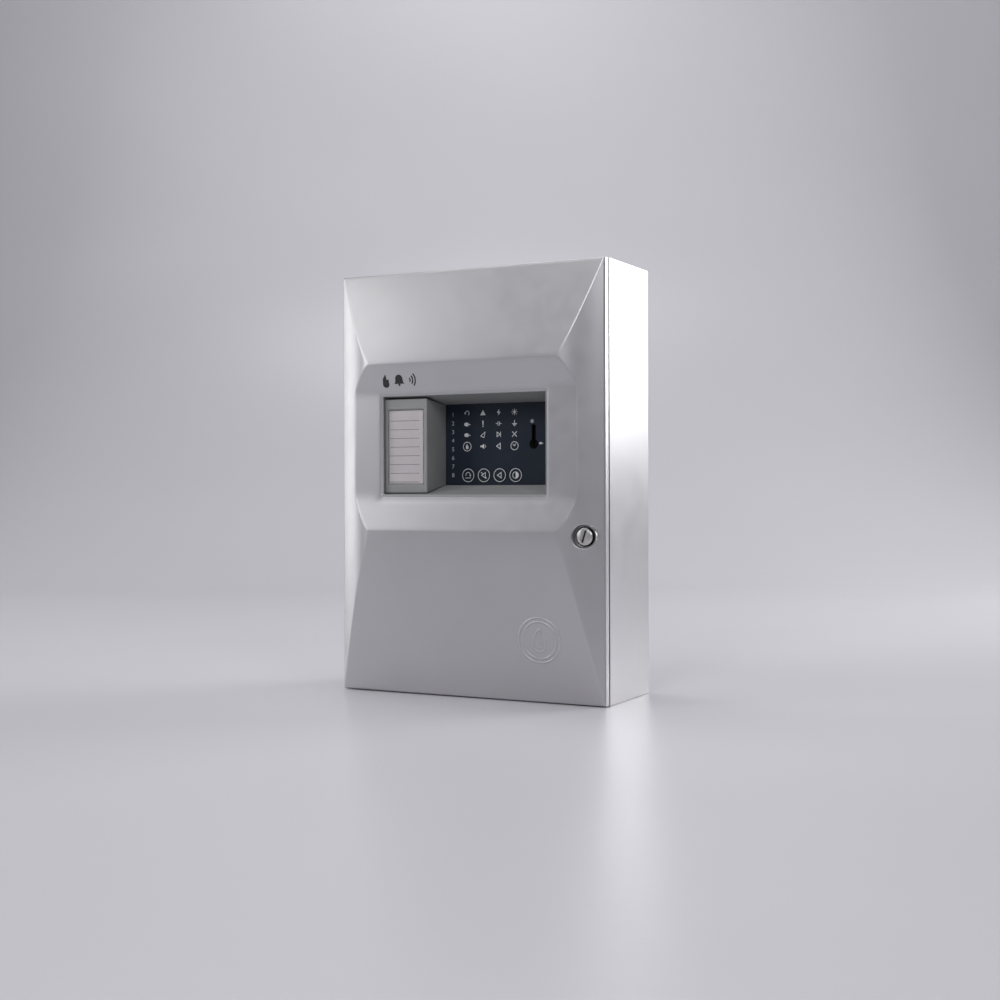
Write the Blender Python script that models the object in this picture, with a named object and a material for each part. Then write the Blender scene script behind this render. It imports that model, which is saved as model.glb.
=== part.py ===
"""Fire alarm control panel: a steel wall cabinet with a hinged, sculpted door.

The door carries the display recess and the cam lock. The cabinet carries the control board, the mains
supply and the two standby batteries. +Z is up, the door faces -Y and its hinge is at -X.
The origin is the middle of the base.
"""

import math

import bmesh
import bpy
from mathutils import Matrix, Vector

# Overall sizes of the closed panel, in metres.
WIDTH = 0.276
HEIGHT = 0.400
CABINET_DEPTH = 0.0935
REVEAL = 0.0028  # shadow gap between the cabinet and the door's rim
DOOR_RIM = 0.0054  # flat side edge of the door
CREST = 0.0207  # how far the door's ridges stand in front of its rim
SHEET = 0.0015  # cabinet steel
DOOR_WALL = 0.0026
DOOR_LIFT = 0.0008  # the door starts this far above the base and ends this far below the top
GAP = 0.0003  # between pieces that touch

HALF_WIDTH = WIDTH / 2
BACK_Y = (CABINET_DEPTH + REVEAL + DOOR_RIM + CREST) / 2
CABINET_FRONT_Y = BACK_Y - CABINET_DEPTH
RIM_BACK_Y = CABINET_FRONT_Y - REVEAL
RIM_Y = RIM_BACK_Y - DOOR_RIM
WALL_Y = BACK_Y - SHEET  # inner face of the cabinet's back wall

# Relief of the door's front. The side facets rise over SIDE_RUN, the upper and lower ones to the ridges,
# and the field round the display lies VALLEY in front of the rim.
SIDE_RUN = 0.041
SIDE_STEP = 0.0015
SIDE_POWER = 1.55
LOWER_RIDGE_Z = 0.155
VALLEY_Z = (0.186, 0.2856)
UPPER_RIDGE_Z = 0.312
VALLEY = 0.0148
END_STEP = 0.0017
LOWER_POWER = 1.36
UPPER_POWER = 1.20
SIDE_COLUMNS = 7
FACET_ROWS = 7

# Display recess.
OPENING_X = 0.0850
OPENING_Z = (0.1888, 0.2812)
BEAD_WIDTH = 0.0028  # raised frame round the opening
BEAD_HEIGHT = 0.0008
TRAY_X = 0.0872
TRAY_Z = (0.1886, 0.2814)
TRAY_WALL = 0.002
TRAY_FLANGE = 0.007
TRAY_FRONT_Y = RIM_Y - VALLEY + DOOR_WALL + GAP
FLOOR_Y = RIM_Y + 0.027
FLOOR_X = 0.0775
FLOOR_Z = (0.1973, 0.2748)
FLOOR_BACK_Y = FLOOR_Y + TRAY_WALL

LABEL_X = (-0.0860, -0.0398)
LABEL_Z = (0.1903, 0.2788)
LABEL_FRONT_Y = RIM_Y - 0.0095
POCKET_X = (-0.0825, -0.0443)
POCKET_Z = (0.1988, 0.2684)
POCKET_BEVEL = 0.0008
POCKET_FLOOR_Y = LABEL_FRONT_Y + 0.0026
CARD_THICKNESS = 0.0003
CARD_BACK_Y = POCKET_FLOOR_Y - GAP
WINDOW_BACK_Y = CARD_BACK_Y - CARD_THICKNESS - GAP
WINDOW_THICKNESS = 0.0008

OVERLAY_THICKNESS = 0.0006
OVERLAY_FRONT_Y = FLOOR_Y - GAP - OVERLAY_THICKNESS
OVERLAY_X = (-0.0394, 0.0770)
OVERLAY_Z = (0.1977, 0.2744)
BUTTON_X = (-0.0150, 0.0018, 0.0186, 0.0354)
BUTTON_Z = 0.2067
BUTTON_RADIUS = 0.0070
BUTTON_PROUD = 0.0005  # how far a key stands out of the overlay
STEM_RADIUS = 0.0017
SWITCH_HEIGHT = 0.0036
SWITCH_HALF_WIDTH = 0.0030
KEY_X = 0.0541
KEY_Z = 0.2356
KEY_SLOT_TOP = 0.2531
KEY_SLOT_WIDTH = 0.0030
KEY_HOLE_RADIUS = 0.0039
KEY_ROTOR_RADIUS = 0.0036
KEY_BODY = 0.0060  # half the width of the key switch

BOARD_THICKNESS = 0.0016
DISPLAY_BOARD_Y = FLOOR_BACK_Y + 0.0040
DISPLAY_BOARD_X = 0.0755
DISPLAY_BOARD_Z = (0.1985, 0.2730)
BOARD_REAR_Y = DISPLAY_BOARD_Y + BOARD_THICKNESS + GAP  # where the pieces behind the display board start
BUZZER = (0.055, 0, 0.255)

# Cam lock.
LOCK_X = 0.1222
LOCK_Z = 0.1515
LOCK_SEAT_Y = RIM_Y - 0.0093
LOCK_SEAT_RADIUS = 0.0103
LOCK_BORE = 0.0073
LOCK_SLOT_TILT = math.radians(17)
BOSS_BACK_Y = RIM_Y - 0.0012
CAM_FRONT_Y = CABINET_FRONT_Y + 0.0035
CAM_THICKNESS = 0.0020
CAM_REACH = 0.0120

# Cabinet front: a return lip with a raised inner edge.
LIP = 0.0065
UPSTAND = 0.0052

# Cable entries, wall fixings and the rear entry.
GROMMET_X = (-0.090, -0.030, 0.030, 0.090)
GROMMET_Y = 0.020
GROMMET_RADIUS = 0.0100
WALL_HOLE_X = 0.115
WALL_HOLE_TOP_Z = 0.345
WALL_HOLE_LOW_Z = 0.140
KEYHOLE_RADIUS = 0.0050
SCREW_HOLE_RADIUS = 0.0032
REAR_ENTRY_X = (-0.030, 0.030)
REAR_ENTRY_Z = (0.150, 0.185)

# Hinges: a steel eye on the cabinet and a pin in the door.
HINGE_X = -HALF_WIDTH + 0.0020
HINGE_Y = RIM_BACK_Y - 0.0010
HINGE_Z = (0.055, 0.345)
EYE_RADIUS = 0.0019
EYE_HOLE = 0.00120
PIN_RADIUS = 0.00090
EYE_HALF_HEIGHT = 0.0010
NOTCH_HALF_HEIGHT = 0.0014
KNUCKLE_HALF_HEIGHT = 0.0070
TAB_X = (-0.1362, -0.1342)

# Control board on the cabinet's back wall.
MAIN_BOARD_X = (-0.125, 0.062)
MAIN_BOARD_Z = (0.215, 0.385)
MAIN_BOARD_Y = WALL_Y - 0.0127  # front face
MOUNT_INSET = 0.006
STRIP_Z = (MAIN_BOARD_Z[1] - 0.014, MAIN_BOARD_Z[1] - 0.003)
STRIP_PITCH = 0.005
STRIP_HEIGHT = 0.012
RELAY_SIZE = (0.0190, 0.0155, 0.0155)  # width, height and how far it stands out
RELAY_Z = 0.3420
BATTERY_BLOCK = (-0.0830, MAIN_BOARD_Z[0] + 0.006)  # centre of the battery terminals
BATTERY_BLOCK_SIZE = (0.0160, 0.0080, 0.0080)
HEATSINK_X = 0.0330
HEATSINK_Z = (0.2280, 0.2620)
FINS = 6
FIN_PITCH = 0.0036
FIN_THICKNESS = 0.0014
FIN_HEIGHT = 0.0180
FIN_WEB = 0.0030
CAPACITOR = (0.0150, 0, 0.2420)
CAPACITOR_RADIUS = 0.0088
CAPACITOR_HEIGHT = 0.0250

RIBBON_Z = (0.218, 0.238)
RIBBON_THICKNESS = 0.0010
PLUG_X = -0.0660
PLUG_HEIGHT = 0.0085
HEADER_X = -0.1050
HEADER_HEIGHT = 0.0110

BATTERY = Vector((0.0895, 0.0700, 0.0950))
BATTERY_GAP = 0.0030
BATTERY_BACK_Y = WALL_Y - 0.0012
BATTERY_BASE_Z = SHEET + GAP
BATTERY_TOP_Z = BATTERY_BASE_Z + BATTERY.z
TERMINAL_INSET = 0.012
TERMINAL_Y = BATTERY_BACK_Y - 0.010
TERMINAL_HEIGHT = 0.006
STRAP_Z = (0.052, 0.068)
LEAD_RADIUS = 0.0013

# Mains supply.
TRANSFORMER_X = 0.100
TRANSFORMER_Z = 0.280
CORE_Y = (0.0310, 0.0480)
CORE_HALF_X = 0.0280
CORE_HALF_Z = 0.0235
CORE_LEG = 0.0095  # half the width of the middle leg
CORE_WINDOW = 0.0090
COIL_HALF_Z = 0.0180
MAINS_X = 0.085
MAINS_Z = (0.362, 0.376)
FUSE_X = (0.086, 0.114)
FUSE_Z = 0.345
EARTH_STUD = (0.110, 0, 0.225)


# Scene, materials and mesh helpers.


def clear_scene():
    for obj in list(bpy.data.objects):
        bpy.data.objects.remove(obj, do_unlink=True)


def make_material(name, colour, roughness, metallic=0.0):
    made = bpy.data.materials.new(name)
    made.use_nodes = True
    shader = made.node_tree.nodes["Principled BSDF"]
    shader.inputs["Base Color"].default_value = (*colour, 1.0)
    shader.inputs["Roughness"].default_value = roughness
    shader.inputs["Metallic"].default_value = metallic
    made.diffuse_color = (*colour, 1.0)
    return made


def add_object(name, mesh, material):
    mesh.materials.clear()
    mesh.materials.append(material)
    obj = bpy.data.objects.new(name, mesh)
    bpy.context.scene.collection.objects.link(obj)
    return obj


def object_from_bmesh(name, bm, material, smooth=False):
    bmesh.ops.recalc_face_normals(bm, faces=bm.faces)
    mesh = bpy.data.meshes.new(name)
    bm.to_mesh(mesh)
    bm.free()
    if smooth:
        mesh.shade_smooth()
        mesh.set_sharp_from_angle(angle=math.radians(35))
    return add_object(name, mesh, material)


def box(name, low, high, material, bevel=0.0):
    """A box between two corners, its edges rounded off by bevel."""
    low, high = Vector(low), Vector(high)
    bm = bmesh.new()
    place = Matrix.Translation((low + high) / 2) @ Matrix.Diagonal((*(high - low), 1))
    bmesh.ops.create_cube(bm, size=1.0, matrix=place)
    if bevel:
        bmesh.ops.bevel(bm, geom=bm.edges[:], offset=bevel, segments=1, affect="EDGES")
    return object_from_bmesh(name, bm, material)


def loft(name, loops, material, closed=False, smooth=False):
    """Skin a chain of loops with equal point counts. An open chain gets a cap at each end."""
    bm = bmesh.new()
    rings = [[bm.verts.new(point) for point in loop] for loop in loops]
    pairs = list(zip(rings, rings[1:]))
    if closed:
        pairs.append((rings[-1], rings[0]))
    else:
        bm.faces.new(rings[0])
        bm.faces.new(rings[-1])
    count = len(rings[0])
    for first, second in pairs:
        for i in range(count):
            j = (i + 1) % count
            bm.faces.new((first[i], first[j], second[j], second[i]))
    return object_from_bmesh(name, bm, material, smooth)


def rectangle(y, x_range, z_range, inset=0.0):
    """Four corners in the plane y. A negative inset makes the rectangle larger."""
    left, right = x_range[0] + inset, x_range[1] - inset
    low, high = z_range[0] + inset, z_range[1] - inset
    return [(left, y, low), (right, y, low), (right, y, high), (left, y, high)]


def circle(centre, axis, radius, sides, turn=0.0):
    """Points on a circle round an axis named X, Y or Z."""
    points = []
    for i in range(sides):
        angle = turn + 2 * math.pi * i / sides
        a, b = radius * math.cos(angle), radius * math.sin(angle)
        offset = {"X": (0, a, b), "Y": (a, 0, b), "Z": (a, b, 0)}[axis]
        points.append(Vector(centre) + Vector(offset))
    return points


def turned(name, centre, axis, profile, material, sides=20, closed=False, turn=0.0):
    """A turned piece. The profile lists (position along the axis, radius), from one end cap to the other."""
    unit = Vector({"X": (1, 0, 0), "Y": (0, 1, 0), "Z": (0, 0, 1)}[axis])
    base = Vector(centre) - unit * Vector(centre).dot(unit)
    loops = [circle(base + unit * along, axis, radius, sides, turn) for along, radius in profile]
    return loft(name, loops, material, closed, smooth=True)


def extruded(name, outline, axis, start, end, material):
    """An outline of (a, b) pairs pushed along X, Y or Z. The pairs are the other two axes, in order."""
    slot = "XYZ".index(axis)
    loops = []
    for along in (start, end):
        points = [list(pair) for pair in outline]
        for point in points:
            point.insert(slot, along)
        loops.append(points)
    return loft(name, loops, material)


def combine(target, tools, operation):
    """Cut the tools out of the target, or join them to it, and remove them."""
    for tool in tools:
        modifier = target.modifiers.new(operation.lower(), "BOOLEAN")
        modifier.operation = operation
        modifier.solver = "EXACT"
        modifier.object = tool
    evaluated = target.evaluated_get(bpy.context.evaluated_depsgraph_get())
    mesh = bpy.data.meshes.new_from_object(evaluated)
    target.modifiers.clear()
    target.data = mesh
    for tool in tools:
        bpy.data.objects.remove(tool, do_unlink=True)
    return target


def cut(target, *tools):
    return combine(target, tools, "DIFFERENCE")


def join(target, *tools):
    return combine(target, tools, "UNION")


def world_location(obj):
    total = Vector()
    while obj:
        total += obj.location
        obj = obj.parent
    return total


def make_pivot(name, location, parent=None):
    """An empty on a joint's axis. The pieces that move with the joint hang on it."""
    pivot = bpy.data.objects.new(name, None)
    pivot.empty_display_size = 0.02
    bpy.context.scene.collection.objects.link(pivot)
    pivot.location = Vector(location) - world_location(parent)
    pivot.parent = parent
    return pivot


def attach(pivot, *pieces):
    offset = world_location(pivot)
    for piece in pieces:
        piece.data.transform(Matrix.Translation(-offset))
        piece.parent = pivot


# The door's relief.


def arc_rise(step, share, power):
    """Height of a facet that leaves its edge at a step and bends towards the crest, at a share of its run."""
    return step + (CREST - step) * (1 - max(0.0, 1 - share) ** power)


def side_rise(run):
    """Height in front of the rim at a distance from the door's left or right edge."""
    return arc_rise(SIDE_STEP, run / SIDE_RUN, SIDE_POWER)


def side_run(rise):
    """Distance from the edge at which the side facet reaches a height."""
    rest = max(0.0, 1 - (rise - SIDE_STEP) / (CREST - SIDE_STEP))
    return SIDE_RUN * (1 - rest ** (1 / SIDE_POWER))


def middle_rise(z):
    """Height in front of the rim along the door's centre line."""
    if z < LOWER_RIDGE_Z:
        return arc_rise(END_STEP, z / LOWER_RIDGE_Z, LOWER_POWER)
    if z < VALLEY_Z[0]:
        return CREST + (VALLEY - CREST) * (z - LOWER_RIDGE_Z) / (VALLEY_Z[0] - LOWER_RIDGE_Z)
    if z <= VALLEY_Z[1]:
        return VALLEY
    if z < UPPER_RIDGE_Z:
        return VALLEY + (CREST - VALLEY) * (z - VALLEY_Z[1]) / (UPPER_RIDGE_Z - VALLEY_Z[1])
    return arc_rise(END_STEP, (HEIGHT - z) / (HEIGHT - UPPER_RIDGE_Z), UPPER_POWER)


def door_rows():
    """Heights of the door's mesh rows, closest together near its top and bottom edges."""
    low, high = DOOR_LIFT, HEIGHT - DOOR_LIFT
    steps = [i / FACET_ROWS for i in range(FACET_ROWS + 1)]
    lower = [low + (LOWER_RIDGE_Z - low) * step**1.3 for step in steps]
    upper = [high - (high - UPPER_RIDGE_Z) * step**1.6 for step in reversed(steps)]
    return [*lower, *VALLEY_Z, *upper]


def door_grid(depth):
    """Rows of points over the door's front, with columns along the creases, or the same inside the wall."""
    x_scale = (HALF_WIDTH - depth) / HALF_WIDTH
    z_scale = (HEIGHT / 2 - DOOR_LIFT - depth) / (HEIGHT / 2 - DOOR_LIFT)
    rows = []
    for z in door_rows():
        crease = side_run(middle_rise(z))
        runs = [crease * k / SIDE_COLUMNS for k in range(SIDE_COLUMNS + 1)]
        left = [(-HALF_WIDTH + run, RIM_Y - side_rise(run) + depth) for run in runs]
        right = [(-x, y) for x, y in reversed(left)]
        row_z = HEIGHT / 2 + (z - HEIGHT / 2) * z_scale
        rows.append([(x * x_scale, y, row_z) for x, y in left + right])
    return rows


def border(rows):
    """The outer points of a grid, once round."""
    right = [row[-1] for row in rows[1:-1]]
    left = [row[0] for row in reversed(rows[1:-1])]
    return [*rows[0], *right, *reversed(rows[-1]), *left]


def door_skin(material):
    """The hollow door, open at the back, before anything is cut into it."""
    bm = bmesh.new()
    rings = []
    for depth in (0.0, DOOR_WALL):
        grid = [[bm.verts.new(point) for point in row] for row in door_grid(depth)]
        for lower, upper in zip(grid, grid[1:]):
            for i in range(len(lower) - 1):
                bm.faces.new((lower[i], lower[i + 1], upper[i + 1], upper[i]))
        edge = border(grid)
        rings.append((edge, [bm.verts.new((v.co.x, RIM_BACK_Y, v.co.z)) for v in edge]))
    (outer, outer_back), (inner, inner_back) = rings
    for first, second in ((outer, outer_back), (outer_back, inner_back), (inner_back, inner)):
        for i in range(len(first)):
            j = (i + 1) % len(first)
            bm.faces.new((first[i], first[j], second[j], second[i]))
    return object_from_bmesh("door_shell", bm, material, smooth=True)


def make_door_shell(material):
    door = door_skin(material)
    knuckles = []
    cutters = []
    for z in HINGE_Z:
        knuckle_low = (HINGE_X - 0.0015, RIM_Y - 0.0035, z - KNUCKLE_HALF_HEIGHT)
        knuckle_high = (HINGE_X + 0.0022, RIM_BACK_Y - 0.0002, z + KNUCKLE_HALF_HEIGHT)
        knuckles.append(box("knuckle", knuckle_low, knuckle_high, material))
        notch_low = (-HALF_WIDTH - 0.001, HINGE_Y - EYE_RADIUS - 0.0005, z - NOTCH_HALF_HEIGHT)
        notch_high = (HINGE_X + 0.0030, RIM_BACK_Y + 0.001, z + NOTCH_HALF_HEIGHT)
        cutters.append(box("notch", notch_low, notch_high, material))
        hole = [(z - 0.0063, EYE_HOLE), (z + KNUCKLE_HALF_HEIGHT + 0.001, EYE_HOLE)]
        cutters.append(turned("pin_hole", (HINGE_X, HINGE_Y, 0), "Z", hole, material, sides=12))
    lock = (LOCK_X, 0, LOCK_Z)
    boss = [(LOCK_SEAT_Y, LOCK_SEAT_RADIUS + 0.0003), (BOSS_BACK_Y, LOCK_SEAT_RADIUS + 0.0003)]
    seat = [(RIM_Y - 0.03, LOCK_SEAT_RADIUS), (LOCK_SEAT_Y + 0.0001, LOCK_SEAT_RADIUS)]
    bore = [(RIM_Y - 0.03, LOCK_BORE), (BOSS_BACK_Y + 0.01, LOCK_BORE)]
    cutters.append(turned("seat", lock, "Y", seat, material, sides=32))
    cutters.append(turned("bore", lock, "Y", bore, material, sides=24))
    opening_low = (-OPENING_X, RIM_Y - 0.03, OPENING_Z[0])
    opening_high = (OPENING_X, RIM_Y, OPENING_Z[1])
    cutters.append(box("opening", opening_low, opening_high, material))
    bead_x = (-OPENING_X - BEAD_WIDTH, OPENING_X + BEAD_WIDTH)
    bead_z = (OPENING_Z[0] - BEAD_WIDTH, OPENING_Z[1] + BEAD_WIDTH)
    field_y = RIM_Y - VALLEY
    bead = [
        rectangle(field_y + 0.001, bead_x, bead_z),
        rectangle(field_y - BEAD_HEIGHT * 0.5, bead_x, bead_z),
        rectangle(field_y - BEAD_HEIGHT, bead_x, bead_z, BEAD_WIDTH * 0.25),
    ]
    join(door, *knuckles, turned("boss", lock, "Y", boss, material, sides=32), loft("bead", bead, material))
    return cut(door, *cutters)


# The cabinet.


def make_back_box(material):
    outer_z = (0.0, HEIGHT)
    outer_x = (-HALF_WIDTH, HALF_WIDTH)
    lip_back_y = CABINET_FRONT_Y + SHEET
    upstand_y = CABINET_FRONT_Y - UPSTAND
    loops = [
        rectangle(WALL_Y, outer_x, outer_z, SHEET),
        rectangle(lip_back_y, outer_x, outer_z, SHEET),
        rectangle(lip_back_y, outer_x, outer_z, LIP),
        rectangle(upstand_y, outer_x, outer_z, LIP),
        rectangle(upstand_y, outer_x, outer_z, LIP - SHEET),
        rectangle(CABINET_FRONT_Y, outer_x, outer_z, LIP - SHEET),
        rectangle(CABINET_FRONT_Y, outer_x, outer_z),
        rectangle(BACK_Y, outer_x, outer_z),
    ]
    cabinet = loft("back_box", loops, material)
    cutters = []
    for x in GROMMET_X:
        entry = [(HEIGHT - 0.005, GROMMET_RADIUS + GAP), (HEIGHT + 0.005, GROMMET_RADIUS + GAP)]
        cutters.append(turned("entry", (x, GROMMET_Y, 0), "Z", entry, material))
    for side in (-1, 1):
        x = side * WALL_HOLE_X
        head = [(WALL_Y - 0.002, KEYHOLE_RADIUS), (BACK_Y + 0.002, KEYHOLE_RADIUS)]
        cutters.append(turned("keyhole", (x, 0, WALL_HOLE_TOP_Z), "Y", head, material, sides=16))
        neck_low = (x - KEYHOLE_RADIUS / 2, WALL_Y - 0.003, WALL_HOLE_TOP_Z)
        neck_high = (x + KEYHOLE_RADIUS / 2, BACK_Y + 0.003, WALL_HOLE_TOP_Z + 2 * KEYHOLE_RADIUS)
        cutters.append(box("neck", neck_low, neck_high, material))
        round_hole = [(WALL_Y - 0.002, SCREW_HOLE_RADIUS), (BACK_Y + 0.002, SCREW_HOLE_RADIUS)]
        cutters.append(turned("screw_hole", (x, 0, WALL_HOLE_LOW_Z), "Y", round_hole, material, sides=16))
    rear_low = (REAR_ENTRY_X[0], WALL_Y - 0.002, REAR_ENTRY_Z[0])
    cutters.append(box("rear_entry", rear_low, (REAR_ENTRY_X[1], BACK_Y + 0.002, REAR_ENTRY_Z[1]), material))
    for z in HINGE_Z:
        slot_low = (TAB_X[0] - GAP, CABINET_FRONT_Y - 0.002, z - NOTCH_HALF_HEIGHT)
        slot_high = (TAB_X[1] + GAP, lip_back_y + 0.001, z + NOTCH_HALF_HEIGHT)
        cutters.append(box("tab_slot", slot_low, slot_high, material))
    return cut(cabinet, *cutters)


def make_grommet(index, x, material):
    """A blanking grommet pressed up into a cable entry. Its face is flush with the cabinet's top."""
    top = HEIGHT - 0.0001
    under = HEIGHT - SHEET - GAP
    profile = [
        (top, GROMMET_RADIUS - 0.0008),
        (top - 0.0006, GROMMET_RADIUS),
        (under, GROMMET_RADIUS),
        (under, GROMMET_RADIUS + 0.0025),
        (under - 0.0020, GROMMET_RADIUS + 0.0020),
        (under - 0.0020, GROMMET_RADIUS - 0.0015),
        (top - 0.0020, GROMMET_RADIUS - 0.0020),
    ]
    return turned(f"cable_grommet_{index}", (x, GROMMET_Y, 0), "Z", profile, material)


def make_hinge_bracket(name, z, material):
    """A plate behind the cabinet's lip with a tab that ends in the eye."""
    plate_front_y = CABINET_FRONT_Y + SHEET + GAP
    plate_low = (TAB_X[0], plate_front_y, z - 0.010)
    plate = box(name, plate_low, (TAB_X[0] + 0.0050, plate_front_y + 0.0015, z + 0.010), material)
    tab = box(
        "tab",
        (TAB_X[0] + 0.0001, HINGE_Y, z - EYE_HALF_HEIGHT),
        (TAB_X[1], plate_front_y + 0.0010, z + EYE_HALF_HEIGHT),
        material,
    )
    eye = [(z - EYE_HALF_HEIGHT, EYE_RADIUS), (z + EYE_HALF_HEIGHT, EYE_RADIUS)]
    hole = [(z - 0.003, EYE_HOLE), (z + 0.003, EYE_HOLE)]
    join(plate, tab, turned("eye", (HINGE_X, HINGE_Y, 0), "Z", eye, material, sides=16))
    return cut(plate, turned("hole", (HINGE_X, HINGE_Y, 0), "Z", hole, material, sides=12))


def make_hinge_pin(name, z, material):
    profile = [
        (z - 0.0060, PIN_RADIUS - 0.0003),
        (z - 0.0056, PIN_RADIUS),
        (z + 0.0062, PIN_RADIUS),
        (z + 0.0066, PIN_RADIUS - 0.0003),
    ]
    return turned(name, (HINGE_X, HINGE_Y, 0), "Z", profile, material, sides=12)


def make_lock_strike(material):
    """An angle inside the cabinet's front corner. Its front leg is what the cam catches behind."""
    front_y = CABINET_FRONT_Y + SHEET + GAP
    right = HALF_WIDTH - SHEET - GAP
    back_y = front_y + 0.0014
    outline = [
        (HALF_WIDTH - LIP + 0.0004, front_y),
        (right, front_y),
        (right, front_y + 0.0130),
        (right - 0.0014, front_y + 0.0130),
        (right - 0.0014, back_y),
        (HALF_WIDTH - LIP + 0.0004, back_y),
    ]
    return extruded("lock_strike", outline, "Z", LOCK_Z - 0.016, LOCK_Z + 0.016, material)


# The display.


def make_display_tray(material):
    mouth_x = (-TRAY_X, TRAY_X)
    floor_x = (-FLOOR_X, FLOOR_X)
    flange_back_y = TRAY_FRONT_Y + TRAY_WALL
    loops = [
        rectangle(FLOOR_Y, floor_x, FLOOR_Z),
        rectangle(TRAY_FRONT_Y, mouth_x, TRAY_Z),
        rectangle(TRAY_FRONT_Y, mouth_x, TRAY_Z, -TRAY_FLANGE),
        rectangle(flange_back_y, mouth_x, TRAY_Z, -TRAY_FLANGE),
        rectangle(flange_back_y, mouth_x, TRAY_Z, -TRAY_WALL),
        rectangle(FLOOR_BACK_Y, floor_x, FLOOR_Z, -TRAY_WALL),
    ]
    tray = loft("display_tray", loops, material)
    pillars = []
    for x in (-DISPLAY_BOARD_X + 0.004, DISPLAY_BOARD_X - 0.004):
        for z in (DISPLAY_BOARD_Z[0] + 0.004, DISPLAY_BOARD_Z[1] - 0.004):
            pillar = [(FLOOR_Y + 0.001, 0.0025), (DISPLAY_BOARD_Y - GAP, 0.0025)]
            pillars.append(turned("pillar", (x, 0, z), "Y", pillar, material, sides=12))
    join(tray, *pillars)
    holes = [
        box(
            "key_hole",
            (KEY_X - KEY_BODY - GAP, FLOOR_Y - 0.002, KEY_Z - KEY_BODY - GAP),
            (KEY_X + KEY_BODY + GAP, FLOOR_BACK_Y + 0.002, KEY_SLOT_TOP + 0.0015 + GAP),
            material,
        )
    ]
    for x in BUTTON_X:
        hole = [(FLOOR_Y - 0.002, BUTTON_RADIUS + 0.0004), (FLOOR_BACK_Y + 0.002, BUTTON_RADIUS + 0.0004)]
        holes.append(turned("button_hole", (x, 0, BUTTON_Z), "Y", hole, material))
    return cut(tray, *holes)


def make_label_holder(material):
    """The zone list's box: a shallow pocket in front and hollow behind, with ends that follow the tray."""
    back_y = FLOOR_Y - GAP
    back_x = (-FLOOR_X + 0.0005, LABEL_X[1])
    back_z = (FLOOR_Z[0] + 0.0005, FLOOR_Z[1] - 0.0005)
    cavity_y = POCKET_FLOOR_Y + 0.0020
    wall = 0.0018
    loops = [
        rectangle(cavity_y, back_x, back_z, wall),
        rectangle(back_y, back_x, back_z, wall),
        rectangle(back_y, back_x, back_z),
        rectangle(LABEL_FRONT_Y, LABEL_X, LABEL_Z),
        rectangle(LABEL_FRONT_Y, POCKET_X, POCKET_Z, -POCKET_BEVEL),
        rectangle(LABEL_FRONT_Y + POCKET_BEVEL, POCKET_X, POCKET_Z),
        rectangle(POCKET_FLOOR_Y, POCKET_X, POCKET_Z),
    ]
    return loft("label_holder", loops, material)


def make_label_card(material):
    low = (POCKET_X[0] + GAP, CARD_BACK_Y - CARD_THICKNESS, POCKET_Z[0] + GAP)
    return box("label_card", low, (POCKET_X[1] - GAP, CARD_BACK_Y, POCKET_Z[1] - GAP), material)


def make_label_window(material):
    low = (POCKET_X[0] + GAP, WINDOW_BACK_Y - WINDOW_THICKNESS, POCKET_Z[0] + GAP)
    return box("label_window", low, (POCKET_X[1] - GAP, WINDOW_BACK_Y, POCKET_Z[1] - GAP), material)


def make_keypad_overlay(material):
    low = (OVERLAY_X[0], OVERLAY_FRONT_Y, OVERLAY_Z[0])
    overlay = box("keypad_overlay", low, (OVERLAY_X[1], FLOOR_Y - GAP, OVERLAY_Z[1]), material)
    front, back = OVERLAY_FRONT_Y - 0.001, FLOOR_Y + 0.001
    holes = [
        box(
            "slot",
            (KEY_X - KEY_SLOT_WIDTH / 2, front - 0.001, KEY_Z),
            (KEY_X + KEY_SLOT_WIDTH / 2, back + 0.001, KEY_SLOT_TOP),
            material,
        ),
        turned("key", (KEY_X, 0, KEY_Z), "Y", [(front, KEY_HOLE_RADIUS), (back, KEY_HOLE_RADIUS)], material),
    ]
    for x in BUTTON_X:
        hole = [(front, BUTTON_RADIUS + GAP), (back, BUTTON_RADIUS + GAP)]
        holes.append(turned("button", (x, 0, BUTTON_Z), "Y", hole, material, sides=28))
    return cut(overlay, *holes)


def make_button(index, x, material):
    """A round key with a stem that reaches into its switch."""
    front = OVERLAY_FRONT_Y - BUTTON_PROUD
    profile = [
        (front, BUTTON_RADIUS - 0.0004),
        (front + 0.0003, BUTTON_RADIUS),
        (FLOOR_Y + 0.0002, BUTTON_RADIUS),
        (FLOOR_Y + 0.0002, STEM_RADIUS),
        (DISPLAY_BOARD_Y - SWITCH_HEIGHT + 0.0005, STEM_RADIUS),
    ]
    return turned(f"button_{index}", (x, 0, BUTTON_Z), "Y", profile, material, sides=28)


def make_tact_switch(index, x, material):
    """A square switch body with a well for the button's stem."""
    front = DISPLAY_BOARD_Y - SWITCH_HEIGHT
    low = (x - SWITCH_HALF_WIDTH, front, BUTTON_Z - SWITCH_HALF_WIDTH)
    high = (x + SWITCH_HALF_WIDTH, DISPLAY_BOARD_Y - GAP, BUTTON_Z + SWITCH_HALF_WIDTH)
    body = box(f"tact_switch_{index}", low, high, material)
    well = [(front - 0.001, STEM_RADIUS + GAP), (front + 0.0024, STEM_RADIUS + GAP)]
    return cut(body, turned("well", (x, 0, BUTTON_Z), "Y", well, material, sides=16))


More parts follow.
